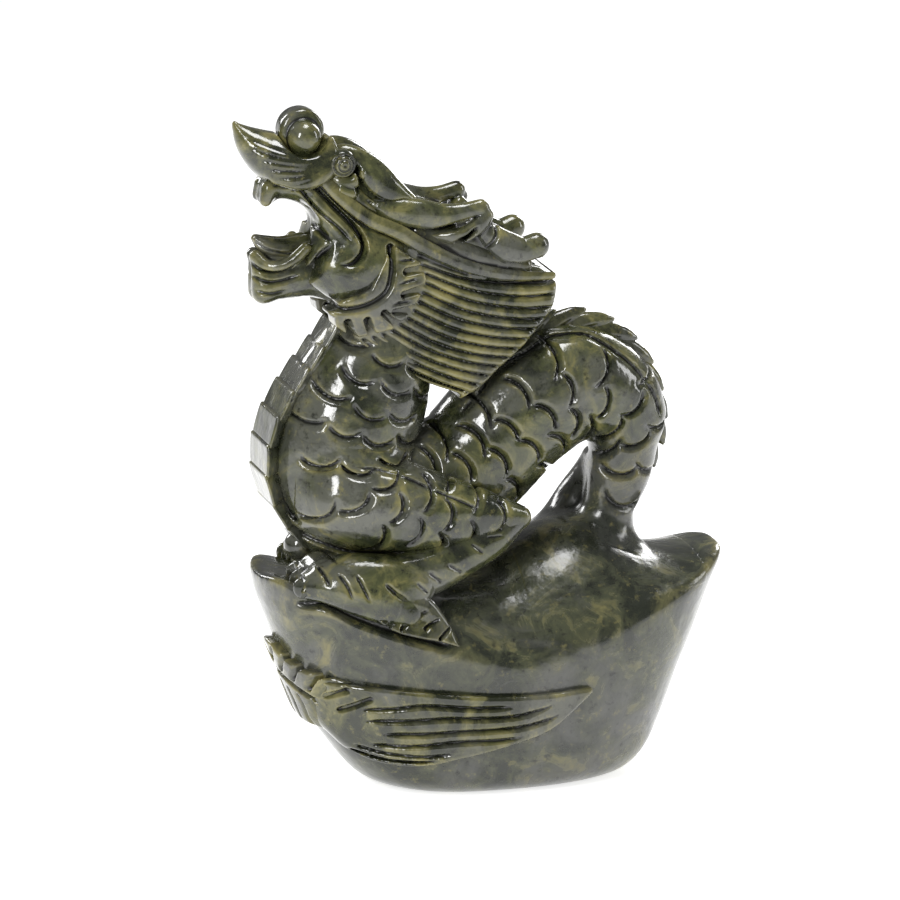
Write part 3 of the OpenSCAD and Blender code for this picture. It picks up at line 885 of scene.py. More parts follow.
def outward(mesh):
    """Turns the faces round if the mesh is inside out."""
    mesh.calc_loop_triangles()
    tri = np.zeros(len(mesh.loop_triangles) * 3, np.int32)
    mesh.loop_triangles.foreach_get("vertices", tri)
    co = np.zeros(len(mesh.vertices) * 3, np.float32)
    mesh.vertices.foreach_get("co", co)
    p = co.reshape(-1, 3)[tri.reshape(-1, 3)].astype(float)
    if np.einsum("ij,ij->i", p[:, 0], np.cross(p[:, 1], p[:, 2])).sum() < 0:
        mesh.flip_normals()


# %% [markdown]
# A path is a wire of vertices with a girth stored on each. The sweep reads the
# girth as the radius of its round section, and the row reads it as the size
# of each copy, so one list of [x, y, z, girth] steers both.

# %% Paths, the tapered sweep and the row
def path_object(name, paths):
    """A wire of one or more paths of [x, y, z, radius] in millimetres."""
    points, edges, radii = [], [], []
    for path in paths:
        first = len(points)
        points += [[c * MM for c in p[:3]] for p in path]
        radii += [p[3] * MM for p in path]
        edges += [(first + i, first + i + 1) for i in range(len(path) - 1)]
    mesh = bpy.data.meshes.new(name)
    mesh.from_pydata(points, edges, [])
    layer = mesh.attributes.new("girth", "FLOAT", "POINT")
    layer.data.foreach_set("value", radii)
    o = bpy.data.objects.new(name, mesh)
    bpy.context.scene.collection.objects.link(o)
    return o


def sweep_tree():
    g = Grower("tapered_sweep", {"Sides": ("Int", 16), "Flatness": ("Float", 1.0),
                                 "Material": ("Material", None)})
    curve = g.node("MeshToCurve", Mesh=g.given.outputs["Geometry"]).outputs[0]
    curve = g.node("SetCurveRadius", Curve=curve, Radius=g.attribute("girth")).outputs[0]
    ring = g.node("CurvePrimitiveCircle", Resolution=g.given.outputs["Sides"], Radius=1.0).outputs[0]
    size = g.node("ShaderNodeCombineXYZ", X=g.given.outputs["Flatness"], Y=1.0, Z=1.0).outputs[0]
    ring = g.node("Transform", Geometry=ring, Scale=size).outputs[0]
    sweep = g.node("CurveToMesh", Curve=curve, Profile_Curve=ring, Fill_Caps=True)
    if "Scale" in sweep.inputs:
        g.tree.links.new(g.attribute("girth"), sweep.inputs["Scale"])
    g.finish(sweep.outputs[0])
    return g


def row_tree():
    g = Grower("row_along_path", {"Piece": ("Object", None), "Count": ("Int", 8), "Size": ("Float", 1.0),
                                  "Lean": ("Float", 0.0), "Material": ("Material", None)})
    curve = g.node("MeshToCurve", Mesh=g.given.outputs["Geometry"]).outputs[0]
    points = g.node("ResampleCurve", Curve=curve, Count=g.given.outputs["Count"]).outputs[0]
    piece = g.node("ObjectInfo", Object=g.given.outputs["Piece"]).outputs["Geometry"]
    along = g.node("InputTangent").outputs[0]
    turn = g.node("FunctionNodeAlignRotationToVector", Vector=along, axis="X", pivot_axis="Y").outputs[0]
    lean = g.node("ShaderNodeCombineXYZ", Y=g.given.outputs["Lean"]).outputs[0]
    lean = g.node("FunctionNodeEulerToRotation", Euler=lean).outputs[0]
    turn = g.node("FunctionNodeRotateRotation", Rotation=turn, Rotate_By=lean,
                  rotation_space="LOCAL").outputs[0]
    size = g.tree.nodes.new("ShaderNodeMath")
    size.operation = "MULTIPLY"
    g.tree.links.new(g.attribute("girth"), size.inputs[0])
    g.tree.links.new(g.given.outputs["Size"], size.inputs[1])
    set_out = g.node("InstanceOnPoints", Points=points, Instance=piece, Rotation=turn, Scale=size.outputs[0])
    g.finish(set_out.outputs[0])
    return g


SWEEP, ROW = sweep_tree(), row_tree()
print("trees:", SWEEP.tree.name, "and", ROW.tree.name)


# %% [markdown]
# What a tree gives back is a plain mesh. It gets the same relief value as the
# carved pieces, worked out from its own edges, so that one stone serves both.

# %% Finishing what a tree has made
def set_relief(mesh, reach=6):
    """The same relief value as on the carved pieces, from the mesh's own edges."""
    n = len(mesh.vertices)
    co = np.zeros(n * 3, np.float32)
    mesh.vertices.foreach_get("co", co)
    points = co.reshape(-1, 3).astype(float) / MM
    edge = np.zeros(len(mesh.edges) * 2, np.int32)
    mesh.edges.foreach_get("vertices", edge)
    edge = edge.reshape(-1, 2)
    normal = np.zeros(n * 3, np.float32)
    mesh.vertices.foreach_get("normal", normal)
    count = np.maximum(np.bincount(edge.ravel(), minlength=n), 1)
    out = points.copy()
    for _ in range(reach):
        total = np.stack([np.bincount(edge[:, 0], out[edge[:, 1], i], n)
                          + np.bincount(edge[:, 1], out[edge[:, 0], i], n) for i in range(3)], 1)
        out = total / count[:, None]
    relief = ((points - out) * normal.reshape(-1, 3)).sum(1)
    layer = mesh.attributes.get("relief") or mesh.attributes.new("relief", "FLOAT", "POINT")
    layer.data.foreach_set("value", np.clip(relief, -1, 1).astype(np.float32))


def finish_grown(o, node, reach=6):
    set_relief(o.data, reach)
    o.data.calc_loop_triangles()
    hand_in(o, node, len(o.data.loop_triangles))


def unit(o):
    """Gives a master piece its size in metres for a row whose girth is in millimetres."""
    o.data.transform(Matrix.Scale(1 / MM, 4))
    return o


# %% [markdown]
# The plates down the chest overlap like roof tiles, each one standing a little
# proud of the next. One plate is carved as a small rounded slab, and the row
# tree sets it along a curve just in front of the chest, leaning each copy so
# that its lower edge stands out.

# %% Plates of the chest
PLATE_PATH = [[-57.5, 0, 187, 0.82], [-66.5, 0, 173.5, 0.9], [-77.2, 0, 158.5, 1], [-84.2, 0, 146.5, 1.03],
              [-87.2, 0, 136, 1.03], [-87, 0, 125, 1.03], [-83.2, 0, 114.5, 1], [-77.5, 0, 106, 0.95]]
PLATE_COUNT, PLATE_LEAN = 10, -3.5
PLATE_HALF_L, PLATE_HALF_W = 6.6, 14.5


def one_plate():
    b = Block((-9, -16, -8), (9, 0, 8), 0.66, half=True)
    X, Y, Z = b.axes()
    bow = Z - 2.7 + (Y / 13) ** 2 * 8.0 + 0.7 * (X / PLATE_HALF_L) ** 2
    slab = smooth_max(np.abs(X) - PLATE_HALF_L, np.abs(Y) - PLATE_HALF_W, 1)
    b.d = smooth_max(slab, np.maximum(bow, -Z - 6.5), 1.2).astype(np.float32)
    return mesh_object("plate_master", *b.surface(), b.step)


plate = unit(one_plate())
plates = ROW.grow("belly_plates", path_object("plate_path", [spline(PLATE_PATH, 8).tolist()]),
                  Piece=plate, Count=PLATE_COUNT, Size=1.0, Lean=math.radians(PLATE_LEAN),
                  Material=STONES["stone_body"])
bpy.data.objects.remove(plate)
finish_grown(plates, "belly_plates")

# %% [markdown]
# The fins along the arch are small blades that lean towards the tail. Each is
# thick at the root and thin at the tip, with a hollow ground into its sides.

# %% Fins of the back
FIN_PATH = [[8, 0, 169, 0.9], [19, 0, 174, 1], [30, 0, 175.5, 1], [41, 0, 173, 1], [50, 0, 166.5, 1],
            [57, 0, 157.5, 1], [61, 0, 147, 1], [63, 0, 137, 0.9], [61.8, 0, 127, 0.75]]
FIN_COUNT, FIN_SIZE = 10, 1.22


def one_fin():
    b = Block((-11, -7, -8), (15, 0, 15), 0.53, half=True)
    b.lobe([[-7, 0, -4, 4.2], [-2, 0, 0.6, 4.6], [4, 0, 3.6, 3.4], [9, 0, 5.6, 0.9]], flat=0.62)
    s = Sketch((-11, -8), (15, 15), 0.25)
    s.groove([(-7, -4), (-2, 0), (4, 3.2), (7, 4.8)], 2.0, 0.6, form="soft", fade=(0.02, 0.3))
    b.carve(s, (0.3, 1.0))
    return mesh_object("fin_master", *b.surface(), b.step)


fin = unit(one_fin())
fins = ROW.grow("dorsal_fins", path_object("fin_path", [spline(FIN_PATH, 8).tolist()]),
                Piece=fin, Count=FIN_COUNT, Size=FIN_SIZE, Lean=0.0, Material=STONES["stone_light"])
bpy.data.objects.remove(fin)
finish_grown(fins, "dorsal_fins")

# %% [markdown]
# An outline drawn from the side limits what is thin: the reliefs on the
# ingot, the mane and the frill. A mesh would need its edge modelled, but on
# the grid the distance to the outline is enough.

# %% Distance to an outline
def outline_distance(points, X, Z):
    """Signed distance to a closed outline in the plane of length and height; negative inside."""
    p = np.array(points, float)
    q = np.roll(p, -1, 0)
    X, Z = np.broadcast_arrays(X.astype(float), Z.astype(float))
    best = np.full(X.shape, 1e9)
    inside = np.zeros(X.shape, bool)
    for a, b in zip(p, q):
        e = b - a
        if e @ e < 1e-9:
            continue
        t = np.clip(((X - a[0]) * e[0] + (Z - a[1]) * e[1]) / (e @ e), 0, 1)
        best = np.minimum(best, (X - a[0] - t * e[0]) ** 2 + (Z - a[1] - t * e[1]) ** 2)
        if abs(e[1]) > 1e-9:
            crosses = ((a[1] > Z) != (b[1] > Z)) & (X < a[0] + (Z - a[1]) / e[1] * e[0])
            inside ^= crosses
    d = np.sqrt(best)
    return np.where(inside, -d, d).astype(np.float32)


def outline_wall(block, outline):
    """The outline as a wall that runs right through the block."""
    return outline_distance(outline, block.x[:, None], block.z[None, :])[:, None, :]


# %% [markdown]
# The leg comes down from the knee towards the face end, and its foot lies on
# the rim of the ingot with four knuckled toes and short claws by a pearl.
# A tuft of feathers hangs from the ankle over the rim. Foot, shin and tuft are
# carved as lobes, and the claws are swept.

# %% Drawings of the leg and its tuft
SHIN_CUTS = [((-30, 96), (-22.5, 91), 1.8, 1.2), ((-38, 94), (-31, 88), 1.8, 1.2),
             ((-43, 90.5), (-37.5, 85), 1.6, 1.1), ((-20, 103), (-14, 98), 1.6, 1.0),
             ((-15, 110.5), (-5.5, 108.5), 1.2, 0.9), ((-14, 107.5), (-5, 106.5), 1.2, 0.9),
             ((-14, 104.5), (-5.5, 104.5), 1.2, 0.9)]
KNUCKLE_CUTS = [((-85.5, 95), (-84, 92.5), (-84, 89.5)), ((-78.5, 96), (-76.5, 92.5), (-76, 89)),
                ((-72.5, 94.5), (-69.5, 90), (-67.3, 84)), ((-66, 94.5), (-63.5, 89), (-61, 83)),
                ((-77, 102), (-74, 100.5), (-71, 96.5))]
TUFT_CUTS = [((-60, 78), (-54, 82.5)), ((-55, 73), (-49, 80)), ((-44.5, 74.5), (-38, 79.5)),
             ((-40.5, 71.5), (-33, 76)), ((-35, 67.5), (-29, 72.5)), ((-50, 72), (-43.5, 77.5))]
leg = Sketch((-92, 60), (12, 122), 0.25)
for start, end, width, depth in SHIN_CUTS:
    leg.groove([start, end], width, depth, fade=(0.25, 0.25))
leg.groove([(-56, 91.5), (-51, 86.5), (-45, 82.5)], 2.2, 1.6, fade=(0.25, 0.3))
for cut in KNUCKLE_CUTS:
    leg.groove(cut, 1.9, 1.6, fade=(0.2, 0.35))
tuft = Sketch((-66, 58), (-18, 96), 0.2)
for cut in TUFT_CUTS:
    tuft.groove(cut, 1.9, 1.7, fade=(0.08, 0.3))
print("cuts on the leg:", len(SHIN_CUTS) + len(KNUCKLE_CUTS) + 1, "on the tuft:", len(TUFT_CUTS))

# %% [markdown]
# Each toe is a short run of balls from one root, with its knuckle half-way. The
# shin melts into the ingot through a fillet between the two distances, and the
# tuft is a skin over the ingot. The far foot is the near one mirrored and
# drawn back a little, so that the feet don't stand like a pair of boots.

# %% Shin, foot and tuft
TOES = 4
TOE_ROOT = np.array([-66, -24, 90.0])
TOE_FIRST, TOE_LAST = np.array([-80.5, -29, 87.0]), np.array([-81.5, -12, 90.5])
KNUCKLES = [(0.45, 3.2, 5.0), (0.68, 3.2, 4.4), (0.86, 1.0, 3.5)]      # share of the toe, rise, radius
FAR_FOOT_BACK = 7.0


def toe_tips():
    return [TOE_FIRST + (TOE_LAST - TOE_FIRST) * i / (TOES - 1) for i in range(TOES)]


def drawn_back(x):
    """The far foot stands a little further back than the near one."""
    return FAR_FOOT_BACK * ease(-x, 60, 84)


def make_shin():
    b = Block((-58, -46, 74), (10, -14, 118), 0.6)
    ingot = ingot_distance(*b.axes())
    b.d = smooth_min(mass(b, "shin"), ingot + 0.6, 2.5)
    b.cut(ingot + 1.5)
    b.cut(mass(b, "thigh") + 2.0)
    b.carve(leg)
    finish_pair("shin", b, "stone_body", FINE)


def make_foot():
    b = Block((-93, -50, 64), (-34, -4, 108), 0.55)
    b.lobe(FOOT, 0.95)
    b.lobe(INSTEP, 0.8, k=7)
    for tip in toe_tips():
        way = tip - TOE_ROOT
        knuckles = [[*(TOE_ROOT + way * share + [0, 0, rise]), r] for share, rise, r in KNUCKLES]
        toe = b.like()
        toe.lobe([[*TOE_ROOT, 6.5], *knuckles, [*(tip + [0, 0, 0.6]), 3.4]])
        b.d = smooth_min(b.d, toe.d, 1.6)
    b.cut(ingot_distance(*b.axes()) + 1.5)
    b.carve(leg)
    points, quads = keep_large(*b.surface())
    finish_mesh("near_foot", points, quads, "stone_body", b.step, FINE)
    points, quads = mirror(points, quads)
    points[:, 0] += drawn_back(points[:, 0])
    finish_mesh("far_foot", points, quads, "stone_body", b.step, FINE)


def make_elbow_tuft():
    b = Block((-62, -52, 60), (-18, -22, 96), 0.46)
    skin = np.abs(ingot_distance(*b.axes()) - 0.4) - 3.4
    outline = [(-64, 84), (-60, 77.5), (-54.5, 73.2), (-49, 70.6), (-41, 68.5), (-34, 67), (-26.5, 64.4),
               (-32, 74.5), (-34.5, 80), (-35, 88), (-46, 92), (-58, 90)]
    b.d = smooth_max(skin, outline_wall(b, outline), 1.6)
    b.lobe([[-58, -36, 86, 6], [-48, -38, 83, 6], [-38, -40, 78, 4.5], [-28.5, -44, 67, 1.2]], 0.8, k=3)
    b.carve(tuft)
    finish_pair("elbow_tuft", b, "stone_light", 2)


make_shin()
make_foot()
make_elbow_tuft()

# %% [markdown]
# A claw is a short knob that curves down over the rim: wider just past the
# toe, then thin. The pearl is a plain ball, at the place and size that the CAD
# model gives it.

# %% Claws and pearl
CLAW = [(-1.5, 1.0, 2.3), (1.2, 0.6, 2.4), (3.4, -0.8, 1.9), (4.8, -2.8, 0.6)]      # out, up, radius


def claw_paths():
    paths = []
    for tip in toe_tips():
        way = (tip - TOE_ROOT) * [1, 1, 0]
        way /= np.linalg.norm(way)
        paths.append(spline([[*(tip + way * out + [0, 0, rise]), r] for out, rise, r in CLAW]).tolist())
    return paths


for side in ("near", "far"):
    paths = claw_paths()
    if side == "far":
        paths = [[[x + float(drawn_back(x)), -y, z, r] for x, y, z, r in path] for path in paths]
    claws = SWEEP.grow(side + "_claws", path_object("claw_paths", paths), Sides=16, Flatness=0.85,
                       Material=STONES["stone_light"])
    finish_grown(claws, side + "_claws", 3)

pearl_low, pearl_high = [np.array(c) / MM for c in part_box("pearl")]
pearl_at, pearl_r = (pearl_low + pearl_high) / 2, (pearl_high[0] - pearl_low[0]) / 2
b = Block(pearl_at - pearl_r - 2, pearl_at + pearl_r + 2, 0.46)
b.ball(pearl_at, pearl_r - 0.4)
finish_piece("pearl", b, "stone_light")

# %% [markdown]
# On each long wall of the ingot a wing is carved in low relief, and feathers
# wrap round the face end under the rim. Both are skins of stone that follow
# the wall: the distance to the ingot gives the skin, an outline drawn from the
# side or from the end limits it, and grooves part its long feathers.

# %% Reliefs on the ingot
WING = [(-77, 49.5), (-66, 49), (-54, 48), (-30, 45.5), (-10, 43.5), (8, 43), (27, 43.5), (22, 37),
        (9.5, 27.5), (-8.5, 22), (-26, 18), (-40, 15), (-54, 15.5), (-64, 19), (-70, 24), (-78, 34)]
WING_LINES = [[(-64.5, 38.8), (-52, 39.6), (-39, 41), (-17.5, 39.2), (-1.5, 39.4)],
              [(-63.5, 34.2), (-44.5, 34.7), (-31, 35.5), (-8.5, 34.8), (4, 36.5), (14, 40.3)],
              [(-57, 28.8), (-40, 29.1), (-26.5, 29.8), (-4, 30.2), (8, 32.4), (16.5, 36.2)],
              [(-60.5, 24.3), (-44.5, 23.8), (-26.5, 25.5), (-8.5, 25.6), (2, 27)],
              [(-65, 23.2), (-53.5, 20.4), (-39, 19.4), (-26, 20.8)],
              [(-66, 20.8), (-53.5, 17.6), (-40, 17.0), (-32, 18.2)]]
QUILLS = [((-58, 44.5), (-71.5, 37)), ((-66.5, 47.5), (-76, 42.5)), ((-74, 47.5), (-83, 40.5))]


def make_wings():
    b = Block((-84, -54, 8), (32, -14, 56), 0.6)
    wall = ingot_distance(*b.axes())
    skin = np.abs(wall - 0.2) - 3.2
    b.d = smooth_max(skin, outline_wall(b, spline(WING + WING[:1], 4)), 2.4).astype(np.float32)
    s = Sketch((-90, 8), (34, 60), 0.25)
    for line in WING_LINES:
        s.groove(line, 4.6, 2.3, form="round", fade=(0.12, 0.16))
        s.groove(line, 1.7, 2.6, fade=(0.12, 0.2))
    for line in QUILLS:
        s.groove(line, 3.0, 2.2, fade=(0.15, 0.15))
    b.carve(s)
    b.cut(wall + 1.6, 0.3)
    finish_pair("wing_relief", b, "stone_light", FINE)


make_wings()

# %% [markdown]
# The feathers at the face end wrap round the curve of the wall, so they are
# drawn from that end, across and up, and the drawing is laid on along the
# length. The skin thins out where it passes under the wing.

# %% Feathers round the face end
COLLAR = [(0, 61), (6, 60), (12, 56.5), (19, 53.5), (27, 51.5), (33, 49.5), (37, 46), (35, 34),
          (30, 25), (22, 24), (11, 27), (0, 28)]


def make_end_tufts():
    b = Block((-98, -40, 18), (-58, 0, 68), 0.6, half=True)
    X, Y, Z = b.axes()
    wall = ingot_distance(X, Y, Z)
    outline = COLLAR + [(-p[0], p[1]) for p in COLLAR[-2:0:-1]]
    end = outline_distance(outline, -b.y[:, None], b.z[None, :])[None, :, :]
    skin = 3.6 - 2.2 * ease(X, -79, -72)              # thins out under the wing
    b.d = smooth_max(np.abs(wall - 0.4) - skin, end, 2.0).astype(np.float32)
    b.d = smooth_max(b.d, X + 62, 1.0).astype(np.float32)
    s = Sketch((0, 14), (48, 72), 0.25)                  # drawn from the end: across and up
    for y in (-1, 6, 13, 20, 27):
        s.groove([(y + 7, 58 - y * 0.3), (y, 50.5 - y * 0.35)], 2.6, 3.0, fade=(0.05, 0.2))
    s.groove([(0, 48), (10, 45.5), (20, 41.5), (29, 37)], 2.8, 2.6, fade=(0.02, 0.1))
    for y in (0, 6.5, 13, 19.5, 26):
        s.groove([(y, 44.5 - y * 0.2), (y + 1.5, 36), (y + 0.2, 27)], 2.8, 1.9, form="round", fade=(0.1, 0.2))
    depth = bilinear(s.depth, (-b.y[:, None] - s.low[0]) / s.step + 0 * b.z[None, :],
                     (b.z[None, :] - s.low[1]) / s.step + 0 * b.y[:, None])
    b.d = b.d + depth[None, :, :].astype(np.float32)
    b.cut(wall + 1.6, 0.3)
    finish_piece("end_tufts", b, "stone_light", FINE)


make_end_tufts()

# %% [markdown]
# The head is the busiest part. The skull is a wedge of lobes, and the bands
# that sweep back from the nose are not modelled as strips: each pair of
# chisel grooves leaves a band between them, as on the real stone. The cuts are
# named after what they border.

# %% Skull
SKULL = [[-36, 0, 205, 18.5], [-46, 0, 218, 18], [-56, 0, 230.5, 15.5], [-67, 0, 239, 12], [-78, 0, 243, 9]]
CHEEK = [[-52, -8.5, 210, 13.5], [-62, -9, 207.5, 12.5], [-64, -6, 222, 10]]
CHEEK_FRONT = [[-67.5, -7, 227, 3.4], [-70, -8.5, 216, 5.4], [-71.5, -8.5, 207, 6.2]]
LIP = [[-78, 0, 243, 8], [-87, 0, 240, 5.5], [-90.5, 0, 236, 3.6]]
CURL = [[-74, -8, 238, 4.5], [-66, -13, 228, 4.5], [-60, -16, 220, 4.5], [-62, -16.5, 214.5, 3.4]]
LIP_HOOK = [[-90.5, -5, 240, 3.2], [-92, -5.5, 235.5, 2.4]]
BAND_LOW = [(-76, 245.5), (-66.5, 235.5), (-56.5, 227), (-45.5, 222), (-34, 214.5), (-22, 207.5),
            (-8, 202.5), (6, 199.5), (20, 198)]
BAND_TOP = [(-70.5, 249), (-62.5, 238.5), (-52.5, 230.5), (-40.5, 224), (-32.5, 219.5), (-24.5, 215.5),
            (-14.5, 210.5), (-0.5, 207), (16, 205.5)]
CURL_TOP = [(-76, 244.5), (-68, 234.5), (-61.5, 227.5), (-57.2, 220.5), (-57.5, 215.5), (-62, 211.8),
            (-69, 212)]
CURL_MID = [(-80, 241), (-73, 232), (-66, 225.5), (-60.5, 219)]
CURL_LOW = [(-79, 231.5), (-75, 227), (-71, 222.5), (-68.5, 219.5)]
LEAF = [(-68, 220.5), (-72.5, 213.5), (-76, 206.5), (-77.5, 202)]
CHEEK_EDGE = [(-46.3, 219), (-46.5, 208.5), (-49, 200.5), (-56, 196), (-66, 194.5), (-75, 197)]

face = Sketch((-108, 186), (26, 272), 0.25)
face.groove(BAND_LOW, 3.4, 2.6, fade=(0.02, 0.02))
face.groove(BAND_TOP, 3.6, 2.4, form="soft", fade=(0.02, 0.02))
face.groove(CURL_TOP, 3.6, 2.8, fade=(0.02, 0.22))
face.groove(CURL_MID, 1.9, 1.5, fade=(0.05, 0.2))
face.groove(CURL_LOW, 3.2, 2.0, fade=(0.2, 0.25))
face.groove(LEAF, 5.2, 3.6, form="soft", fade=(0.35, 0.35))
face.groove([(-79.5, 224.5), (-80.2, 216), (-79.5, 205)], 1.6, 1.3, fade=(0.2, 0.2))
face.groove(CHEEK_EDGE, 4.4, 2.6, form="soft", fade=(0.03, 0.1))
for x, z in [(-90.5, 241.5), (-87.5, 240.5), (-84.5, 239.5)]:
    face.groove([(x, z), (x + 6, z - 0.6), (x + 11, z - 3)], 1.1, 0.7, fade=(0.2, 0.3))


def make_skull():
    b = Block((-97, -28, 186), (-18, 0, 262), 0.55, half=True)
    b.lobe(SKULL, 0.95)
    b.lobe(CHEEK, 1.0, k=5)
    b.lobe(CHEEK_FRONT, 1.2, k=3)
    b.lobe(LIP, 1.2, k=3)
    b.lobe(CURL, 0.8, k=2.5)
    b.lobe(LIP_HOOK, 1.0, k=2)
    b.carve(face, (2, 6))
    finish_piece("skull", b, "stone_body", FINE)


make_skull()

# %% [markdown]
# The open mouth: the lower jaw curls up at its tip, and a thick tongue lies in
# it. The jaw has long hollows cut along its side, under the lip. A tongue could
# be left out in the shade, but it shows between the lips, with its middle
# furrow.

# %% Jaw and tongue
JAW = [[-62, 0, 203, 10.5], [-73, 0, 204, 8.4], [-82, 0, 203, 7.6], [-88, 0, 202.5, 7.4]]
JAW_LIP = [[-77.5, -10.2, 217, 2.3], [-83, -9.8, 212, 2.5], [-88, -8.6, 210, 2.5], [-92, -6.5, 210.5, 2.3],
           [-95, -2.5, 213.5, 2.0]]
CHIN = [[-92.5, -3, 199, 4.5], [-93.8, -3, 206, 3.2], [-95.2, -1.5, 212.5, 2.0]]
MOUTH_FLOOR = [[-72, 0, 210, 7], [-84, 0, 209.5, 5.5], [-91.5, 0, 210.5, 4.2]]
TONGUE = [[-68, 0, 215.5, 5], [-76, 0, 216, 4.8], [-84, 0, 215.4, 4.4], [-90.5, 0, 216.8, 3.8],
          [-94.5, 0, 219.4, 2.2]]
jaw = Sketch((-104, 184), (-56, 232), 0.25)
jaw.groove([(-99, 213), (-94, 208.5), (-86.5, 208.5), (-79, 213)], 1.8, 1.3, fade=(0.15, 0.2))
jaw.groove([(-98, 206.5), (-92, 204), (-85, 204.5), (-78, 207)], 2.2, 1.4, fade=(0.15, 0.3))
jaw.groove([(-97, 201), (-91, 199.5), (-83, 200.5)], 1.8, 1.0, fade=(0.2, 0.3))


def make_jaw():
    b = Block((-102, -20, 186), (-50, 0, 226), 0.53, half=True)
    b.lobe(JAW, 1.2)
    b.lobe(JAW_LIP, 1.0, k=1.6)
    b.lobe(CHIN, 1.2, k=3)
    b.lobe(MOUTH_FLOOR, 1.2, k=1.0)
    b.carve(jaw, (1.5, 4))
    finish_piece("lower_jaw", b, "stone_body", FINE)


def make_tongue():
    b = Block((-100, -12, 206), (-60, 0, 226), 0.46, half=True)
    b.lobe(TONGUE, 1.35)
    line = Sketch((-100, 206), (-60, 226), 0.25)
    line.groove([(-97, 219.5), (-88, 215), (-74, 213)], 1.2, 0.7)
    b.carve(line, (1, 3))
    X, Y, Z = b.axes()
    furrow = 1.1 * np.exp(-(Y / 1.1) ** 2) * ease(Z, 214, 217)
    b.d = b.d + furrow.astype(np.float32)
    finish_piece("tongue", b, "stone_light", 2)


make_jaw()
make_tongue()

# %% [markdown]
# The nose turns up as a fluted shell, and a rolled curl sits in it: a wheel in
# the middle with a ball on each side for the nostrils. The flutes are shallow
# gouge strokes that spread from one point like the ribs of a scallop, so each
# is worked out from its outer end and that point.

# %% Nose
SHELL = [[-72, 0, 250, 10.5], [-80, 0, 250, 10.8], [-88, 0, 251.5, 9.5], [-96, 0, 257, 6],
         [-101, 0, 262.5, 2.4], [-102.6, 0, 265, 1.0]]
SHELL_RIM = [[-68, -9, 258, 2.2], [-67.5, -11, 251, 3.2], [-72, -12.5, 245.5, 3.6], [-80, -12, 243.5, 3.4],
             [-88, -9, 245, 2.6]]
FLUTE_ROOT = np.array([-66.5, 250])
FLUTES = [(-101, 261), (-99.5, 257), (-97, 252.8), (-94, 248.8), (-90.5, 245.2), (-85.5, 242.4)]
CURL_X, SEAT_Z, SEAT_R = -77, 262, 9.3         # the hollow that the curl sits in
WHEEL_Z, WHEEL_R, WHEEL_HALF = 261.2, 8.9, 5.2
NOSTRIL, NOSTRIL_R = (-76.9, -6.6, 259.4), 6.5
NECK_Z, NECK_R = 252, 6.5
flutes = Sketch((-106, 236), (-60, 274), 0.2)
for start in FLUTES:
    way = FLUTE_ROOT - start
    line = [start, start + way * 0.33 - [0, 1.2], start + way * 0.62 - [0, 1.5]]
    flutes.groove(line, 3.4, 0.75, form="round", fade=(0.3, 0.4))


def make_shell():
    b = Block((-106, -20, 236), (-58, 0, 270), 0.46, half=True)
    b.lobe(SHELL, 1.3)
    b.lobe(SHELL_RIM, 0.9, k=3)
    b.carve(flutes, (1.5, 5))
    X, Y, Z = b.axes()
    b.cut(np.sqrt((X - CURL_X) ** 2 + (Z - SEAT_Z) ** 2) - SEAT_R, 1.5)
    finish_piece("nose_shell", b, "stone_light", FINE)


def make_curl():
    b = Block((-92, -18, 246), (-62, 0, 274), 0.46, half=True)
    X, Y, Z = b.axes()
    wheel = np.sqrt((X - CURL_X) ** 2 + (Z - WHEEL_Z) ** 2)
    b.d = smooth_max(wheel - WHEEL_R, np.abs(Y) - WHEEL_HALF, 3.0).astype(np.float32)
    nostril = b.like()
    nostril.ball(NOSTRIL, NOSTRIL_R, squash=(1, 0.9, 1))
    b.d = smooth_min(b.d, nostril.d, 0.4)
    b.d = smooth_min(b.d, np.maximum(wheel - 5, np.abs(Y) - 6), 1.0)
    neck = np.sqrt((X - CURL_X) ** 2 + (Z - NECK_Z) ** 2 + (Y / 1.4) ** 2) - NECK_R
    b.d = smooth_min(b.d, neck, 2).astype(np.float32)
    finish_piece("nose_curl", b, "stone_body", FINE)


make_shell()
make_curl()

# %% [markdown]
# The eye is a raised ball with two rings and a pupil cut into it, under a heavy
# brow that runs back into the horns, with a bead under the lid. The rings are
# worked out from the distance to the middle of the eye.

# %% Eyes and brows
EYE = (-63.6, -13.2, 249.6)
EYE_R = 5.7
EYE_RINGS = [(3.9, 0.4, 0.7), (2.2, 0.35, 0.5), (0, 0.6, 0.6)]        # radius, width, depth
BROW = [[-67.5, -6, 252, 2.6], [-62, -8, 252.8, 3.6], [-55.5, -9.5, 249, 5.2], [-50, -11, 243, 6.6],
        [-44.5, -12.5, 237.5, 5.8], [-38, -13, 233, 4.0]]
LID = [[-68.5, -9, 246, 1.8], [-65, -12.5, 243, 2.2], [-60, -14, 242.4, 2.5], [-57, -14.5, 245.5, 2.2]]
LID_BEAD = [[-64, -13.6, 239.4, 2.6], [-60.5, -14.5, 238.2, 2.2]]
BROW_ROOT = [[-64, -8, 240, 4.5], [-56, -10, 234.5, 5.5], [-48, -11, 230.5, 5]]


def make_eyes():
    x, y, z = EYE
    b = Block((x - 8, y - 7, z - 8), (x + 8, y + 8, z + 8), 0.3)
    X, Y, Z = b.axes()
    b.ball((x, y + 1.6, z), EYE_R)
    r = np.sqrt((X - x) ** 2 + (Z - z) ** 2)
    rings = sum(depth * bell(r, ring, width) for ring, width, depth in EYE_RINGS)
    b.d = b.d + rings.astype(np.float32) * (Y < y + 3)
    finish_pair("eye", b, "stone_light", 1.2)


